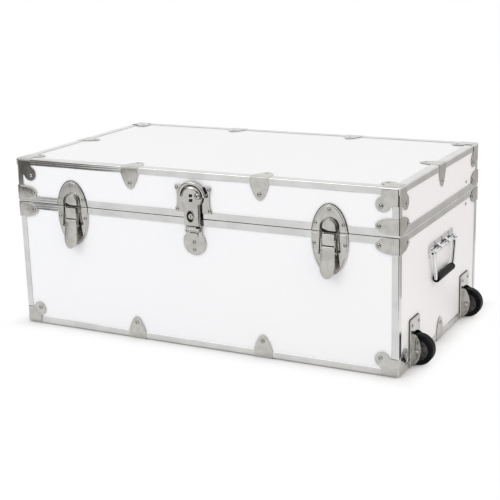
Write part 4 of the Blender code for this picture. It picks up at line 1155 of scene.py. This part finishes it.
# %% Two wheels
for name in ("front", "back"):
    place = on("right", middle_of(f"wheel_{name}_tyre").y, SOLE)
    axle = place @ lying(AXLE_OUT, AXLE_RISE)
    for piece, shape, matrix, look, body, *nodes in (
            ("bracket", wheel_bracket(), place, NICKEL, "base", f"wheel_{name}_bracket"),
            # the gap piece is painted shade
            ("gap", bracket_painted_shade(), place, PAINTED_SHADE, "base"),
            ("axle", wheel_axle(), axle, NICKEL, "base", f"wheel_{name}_axle"),
            ("tread", tyre(), axle, RUBBER, f"wheel_{name}", f"wheel_{name}_tyre"),
            ("hub", hub(), axle, HUB, f"wheel_{name}")):
        keep(f"wheel_{name}_{piece}_formed", placed(shape, matrix), look, body, *nodes)
    top = place @ Matrix.Translation((0, FORK_TALL, 0))
    rivets("base", top, FORK_OUT - 0.1 * MM, 0.8, (-17, -11), (17, -11))

# %% [markdown]
# ## Hinges and the lid stay
#
# The back hinges are plain butts: two leaves whose knuckles share a pin. The stay inside the right end
# is two flat bars that fold at a pinned knee, each riveted through the end panel.

# %% Hinge leaves
HINGE_OUT, HINGE_BARREL, HINGE_HALF = 5.4 * MM, 3.2 * MM, 25 * MM
KNUCKLE, KNUCKLE_AIR = 10 * MM, 0.4 * MM
LEAF_LOW, LEAF_HIGH = 4 * MM, 35 * MM
LID_KNUCKLES = [(-KNUCKLE, KNUCKLE)]
BASE_KNUCKLES = [(-HINGE_HALF, -KNUCKLE - KNUCKLE_AIR), (KNUCKLE + KNUCKLE_AIR, HINGE_HALF)]


def hinge_leaf(knuckles):
    """A leaf above the hinge line, with its knuckles on the line."""
    bm = plate(rounded_box(HINGE_HALF, LEAF_LOW, LEAF_HIGH, 3 * MM), PLATE_IN, PLATE_OUT, 0.5 * MM)
    for start, end in knuckles:
        web_top = LEAF_LOW + 2 * MM
        add(bm, plate([(start, 0), (end, 0), (end, web_top), (start, web_top)], PLATE_IN, PLATE_OUT))
        add(bm, rod(HINGE_BARREL, start, end, 20), lying(HINGE_OUT, 0))
    return bm


for side in ("left", "right"):
    line = on("back", -middle_of(f"hinge_{side}_base_leaf").x, RIM)
    for piece, body, knuckles, up in (("lid_leaf", "lid", LID_KNUCKLES, 1),
                                      ("base_leaf", "base", BASE_KNUCKLES, -1)):
        place = line @ Matrix.Diagonal((1, up, 1, 1))
        leaf = placed(hinge_leaf(knuckles), place)
        if body == "base":
            reach = HINGE_HALF - 0.5 * MM
            add(leaf, rod(PIN, -reach, reach, 12), place @ lying(HINGE_OUT, 0))
        keep(f"hinge_{side}_{piece}_formed", leaf, NICKEL, body, f"hinge_{side}_{piece}")
        rivets(body, place, PLATE_OUT, 0.8, (-17, 27), (17, 27), (0, 15))

# %% Lid stay
STAY_Y, STAY_RISE, STAY_HALF, STAY_BAR = 0.68 * FACE, 22.5 * MM, 6 * MM, 2 * MM
STAY_KNEE = 2 * STAY_Y - FACE - HINGE_OUT
STAY_PIN = 2.5 * MM


def stay_arm(up, inner, pin_end):
    """A round-ended bar from its rivet to the knee, with the rivet through the panel and the knee's pin."""
    heading = math.degrees(math.atan2(-up * STAY_RISE, STAY_KNEE - STAY_Y))
    outline = arc((STAY_KNEE, 0), STAY_HALF, heading - 90, heading + 90, 12)
    outline += arc((STAY_Y, up * STAY_RISE), STAY_HALF, heading + 90, heading + 270, 12)
    bm = plate(outline, inner, inner + STAY_BAR, 0.4 * MM, both=True)
    root = inner + STAY_BAR / 2
    stem = [(0, root), (2 * MM, root)]
    head = mm((2, 0.3), (3.6, 0.3), (3.4, 0.9), (2.2, 1.4), (0, 1.5))
    add(bm, turned(stem + head, 16), Matrix.Translation((STAY_Y, up * STAY_RISE, 0)))
    return add(bm, rod(STAY_PIN, pin_end, root, 14), Matrix.Translation((STAY_KNEE, 0, 0)))


place = on("right", 0, RIM)
for name, up, inner, pin_end in (("lower", -1, -14.5 * MM, -14.8 * MM),
                                 ("upper", 1, -16.9 * MM, -17.9 * MM)):
    arm = placed(stay_arm(up, inner, pin_end), place)
    keep(f"stay_{name}_formed", arm, NICKEL, f"stay_{name}", f"stay_{name}_arm")

# %% [markdown]
# ## Rivets
#
# Every stamping is held by tubular rivets. Each one was noted where it belongs, and all those of a body
# are now made as one piece from one small turned dome. Dark discs of painted shade stand in its bore and in
# the gap at its foot.

# %% Rivets
RIVET, RIVET_TALL, RIVET_SUNK = 3.9 * MM, 2.3 * MM, 0.1 * MM
RIVET_ROOT = -0.6 * MM
BORE, BORE_LOW, BORE_HIGH = 1.3 * MM, 1 * MM, 2.24 * MM
GAP, GAP_LOW, GAP_HIGH = RIVET + 0.3 * MM, -0.5 * MM, 0.4 * MM
for body, places in RIVETS.items():
    crown = [(out, up - RIVET_SUNK) for out, up in arc((0, 0), (RIVET, RIVET_TALL), 0, 90, 5)]
    dome = turned([(0, RIVET_ROOT), (RIVET, RIVET_ROOT), *crown], 12)
    keep(f"rivets_{body}", placed(dome, *places), NICKEL, body, sharp=60)
    # Painted shade in each rivet's bore and round its foot.
    shade = placed(disc(BORE, BORE_LOW, BORE_HIGH, 8), *places)
    add(shade, disc(GAP, GAP_LOW, GAP_HIGH, 12), *places)
    keep(f"rivet_painted_shade_{body}", shade, PAINTED_SHADE, body)

# %% [markdown]
# ## The stage
#
# A white floor and a white surround, with soft light. The floor has to read as plain white and still
# hold the trunk on it, so it glows white to the camera and turns to ordinary paint, which takes the
# shadow, close to the case.

# %% A helper for flat stage pieces
FLAT = (0, 0, 0)


def sheet_of_stage(name, look, middle, wide, tall, tilt=FLAT):
    """A rectangle about its middle, tilted by angles in degrees."""
    bm = bmesh.new()
    bmesh.ops.create_grid(bm, x_segments=1, y_segments=1, size=0.5)
    bmesh.ops.scale(bm, vec=(wide, tall, 1), verts=bm.verts)
    turn = Euler([math.radians(angle) for angle in tilt]).to_matrix()
    bmesh.ops.rotate(bm, cent=(0, 0, 0), matrix=turn, verts=bm.verts)
    bmesh.ops.translate(bm, vec=middle, verts=bm.verts)
    made = new_mesh_object(name, bm, look)
    print(f"stage: {name}, {wide} x {tall} m")
    return made


# %% Floor
FLOOR_WIDE = 60
SHADE_FROM, SHADE_TO, WHITEST = -0.008, 0.05, 0.98


def seen_rays(tree):
    """1 for rays from the camera, straight or by a mirror or glass, and 0 for rays that carry light."""
    rays = tree.nodes.new("ShaderNodeLightPath")
    seen = Value(tree, rays.outputs["Is Camera Ray"]) + Value(tree, rays.outputs["Is Glossy Ray"])
    return seen.math("ADD", seen, Value(tree, rays.outputs["Is Transmission Ray"]), clamp=True)


def floor_paint():
    look, place = new_look("floor_paint")
    tree = look.node_tree
    tone = place.noise(0.6).mix((0.94, 0.94, 0.94, 1), (0.96, 0.96, 0.96, 1))
    dress(look, {"Base Color": tone, "Roughness": 0.9, "Specular IOR Level": 0.1})
    x, y, z = place.axes()
    beside = place.math("MAXIMUM", abs(x) - END, abs(y) - FACE)
    white = seen_rays(tree) * (WHITEST * beside.ramp(SHADE_FROM, SHADE_TO))
    glow = place.node("Emission", {"Color": (1, 1, 1, 1), "Strength": 1.0})
    paint = Value(tree, tree.nodes["Principled BSDF"].outputs[0])
    both = place.node("MixShader", {0: white, 1: paint, 2: glow})
    tree.links.new(both.socket, tree.nodes["Material Output"].inputs["Surface"])
    return look


sheet_of_stage("floor", floor_paint(), (0, 0, 0), FLOOR_WIDE, FLOOR_WIDE)

# %% [markdown]
# Bright metal shows only what it mirrors, so a white room alone would leave it flat. Cards on and round
# the white floor, as a photographer would lay them, are seen by the metal and by nothing else. The dark
# ones put dark lines into the folds and domes and shade the trim at the left. A pale one greys the trim
# of the right end.

# %% Cards for the metal to mirror
CARD_LIFT = 0.004


def card_paint(name, dark, light):
    look, place = new_look(name)
    return dress(look, {"Base Color": place.noise(2.0).mix(dark, light), "Roughness": 0.9})


GREY_CARD = card_paint("grey_card", (0.07, 0.065, 0.06, 1), (0.14, 0.13, 0.12, 1))
BLACK_CARD = card_paint("black_card", (0.015, 0.015, 0.015, 1), (0.03, 0.03, 0.03, 1))
PALE_CARD = card_paint("pale_card", (0.58, 0.57, 0.56, 1), (0.66, 0.65, 0.64, 1))
for name, look, middle, wide, tall, tilt in (
        ("left_floor_card", GREY_CARD, (-2.6, -1.84, CARD_LIFT), 2.9, 1.2, FLAT),
        ("left_strip_card", BLACK_CARD, (-1.005, -1.09, CARD_LIFT), 0.11, 0.105, FLAT),
        ("left_side_card", BLACK_CARD, (-1.66, -0.25, CARD_LIFT), 0.5, 1.7, FLAT),
        ("right_floor_card", BLACK_CARD, (2.4, -2.2, CARD_LIFT), 3.5, 3.6, FLAT),
        ("end_floor_card", PALE_CARD, (1.35, 1.7, CARD_LIFT), 1.6, 3.0, FLAT),
        ("front_card", BLACK_CARD, (-1.5, -4.2, 1.3), 7.0, 0.9, (90, 0, 0)),
        ("left_card", BLACK_CARD, (-4.1, -0.6, 1.6), 3.0, 4.0, (0, 90, 0)),
        ("camera_card", BLACK_CARD, (1.9, -3.9, 1.9), 3.2, 3.0, (90, 0, 27.6)),
        ("right_card", BLACK_CARD, (4.05, -2.2, 0.7), 1.4, 3.6, (0, 90, 0))):
    card = sheet_of_stage(name, look, middle, wide, tall, tilt)
    card.visible_camera = False
    card.visible_diffuse = False
    card.visible_shadow = False
    card.visible_transmission = False

# %% [markdown]
# The surround is a plain white sky, a touch dimmer as light than as background. A large softbox at the
# front left models the metal. A weaker warm one at the right tints the end panel, and it stays out of
# reflections so that the metal keeps its neutral tone.

# %% Surround and lamps
SKY = 0.925
world = bpy.data.worlds.new("studio")
bpy.context.scene.world = world
world.use_nodes = True
shine = world.node_tree.nodes["Background"]
shine.inputs["Color"].default_value = (1, 1, 1, 1)
strength = SKY + (1 - SKY) * seen_rays(world.node_tree)
world.node_tree.links.new(strength.socket, shine.inputs["Strength"])


def softbox(name, place, aim, size, power, colour):
    lamp = bpy.data.lights.new(name, "AREA")
    lamp.shape, lamp.size, lamp.energy, lamp.color = "DISK", size, power, colour
    holder = new_object(name, lamp)
    holder.location = place
    holder.rotation_euler = (Vector(aim) - Vector(place)).to_track_quat("-Z", "Y").to_euler()
    print(f"lamp: {name}, {power} W")
    return holder


softbox("front_left_softbox", (-1.6, -3.0, 2.6), (0, 0, 0.15), 2.2, 22, (0.97, 0.985, 1.0))
warm = softbox("right_softbox", (3.4, -0.6, 1.9), (0.4, 0, 0.15), 2.0, 8.2, (1.0, 0.46, 0.2))
warm.visible_glossy = False

# %% [markdown]
# ## The camera
#
# The camera was found by fitting the case's visible corners, so it is given by its direction from
# the case's middle, its distance, a slight roll and a small offset that frames the picture.

# %% Camera
AZIMUTH, ELEVATION, ROLL = (math.radians(v) for v in (27.566, 15.40581, -1.54456))
DISTANCE, OFFSET, LENS, SENSOR = 2.41913, (-0.00202, -0.03591), 84.42138, 36

back = Vector((math.sin(AZIMUTH) * math.cos(ELEVATION), -math.cos(AZIMUTH) * math.cos(ELEVATION),
               math.sin(ELEVATION)))
level = Vector((math.cos(AZIMUTH), math.sin(AZIMUTH), 0))
upright = back.cross(level)
right = math.cos(ROLL) * level + math.sin(ROLL) * upright
up = math.cos(ROLL) * upright - math.sin(ROLL) * level
middle = Vector((0, 0, (SOLE + TOP) / 2))
matrix = Matrix((right, up, back)).transposed().to_4x4()
matrix.translation = middle + back * DISTANCE + right * OFFSET[0] + up * OFFSET[1]
camera = new_object("camera", bpy.data.cameras.new("camera"))
camera.matrix_world = matrix
camera.data.lens, camera.data.sensor_width = LENS, SENSOR
print(f"camera: {LENS:.1f} mm lens, {DISTANCE:.2f} m away")
bpy.context.scene.camera = camera
bpy.context.scene.view_settings.view_transform = "Standard"
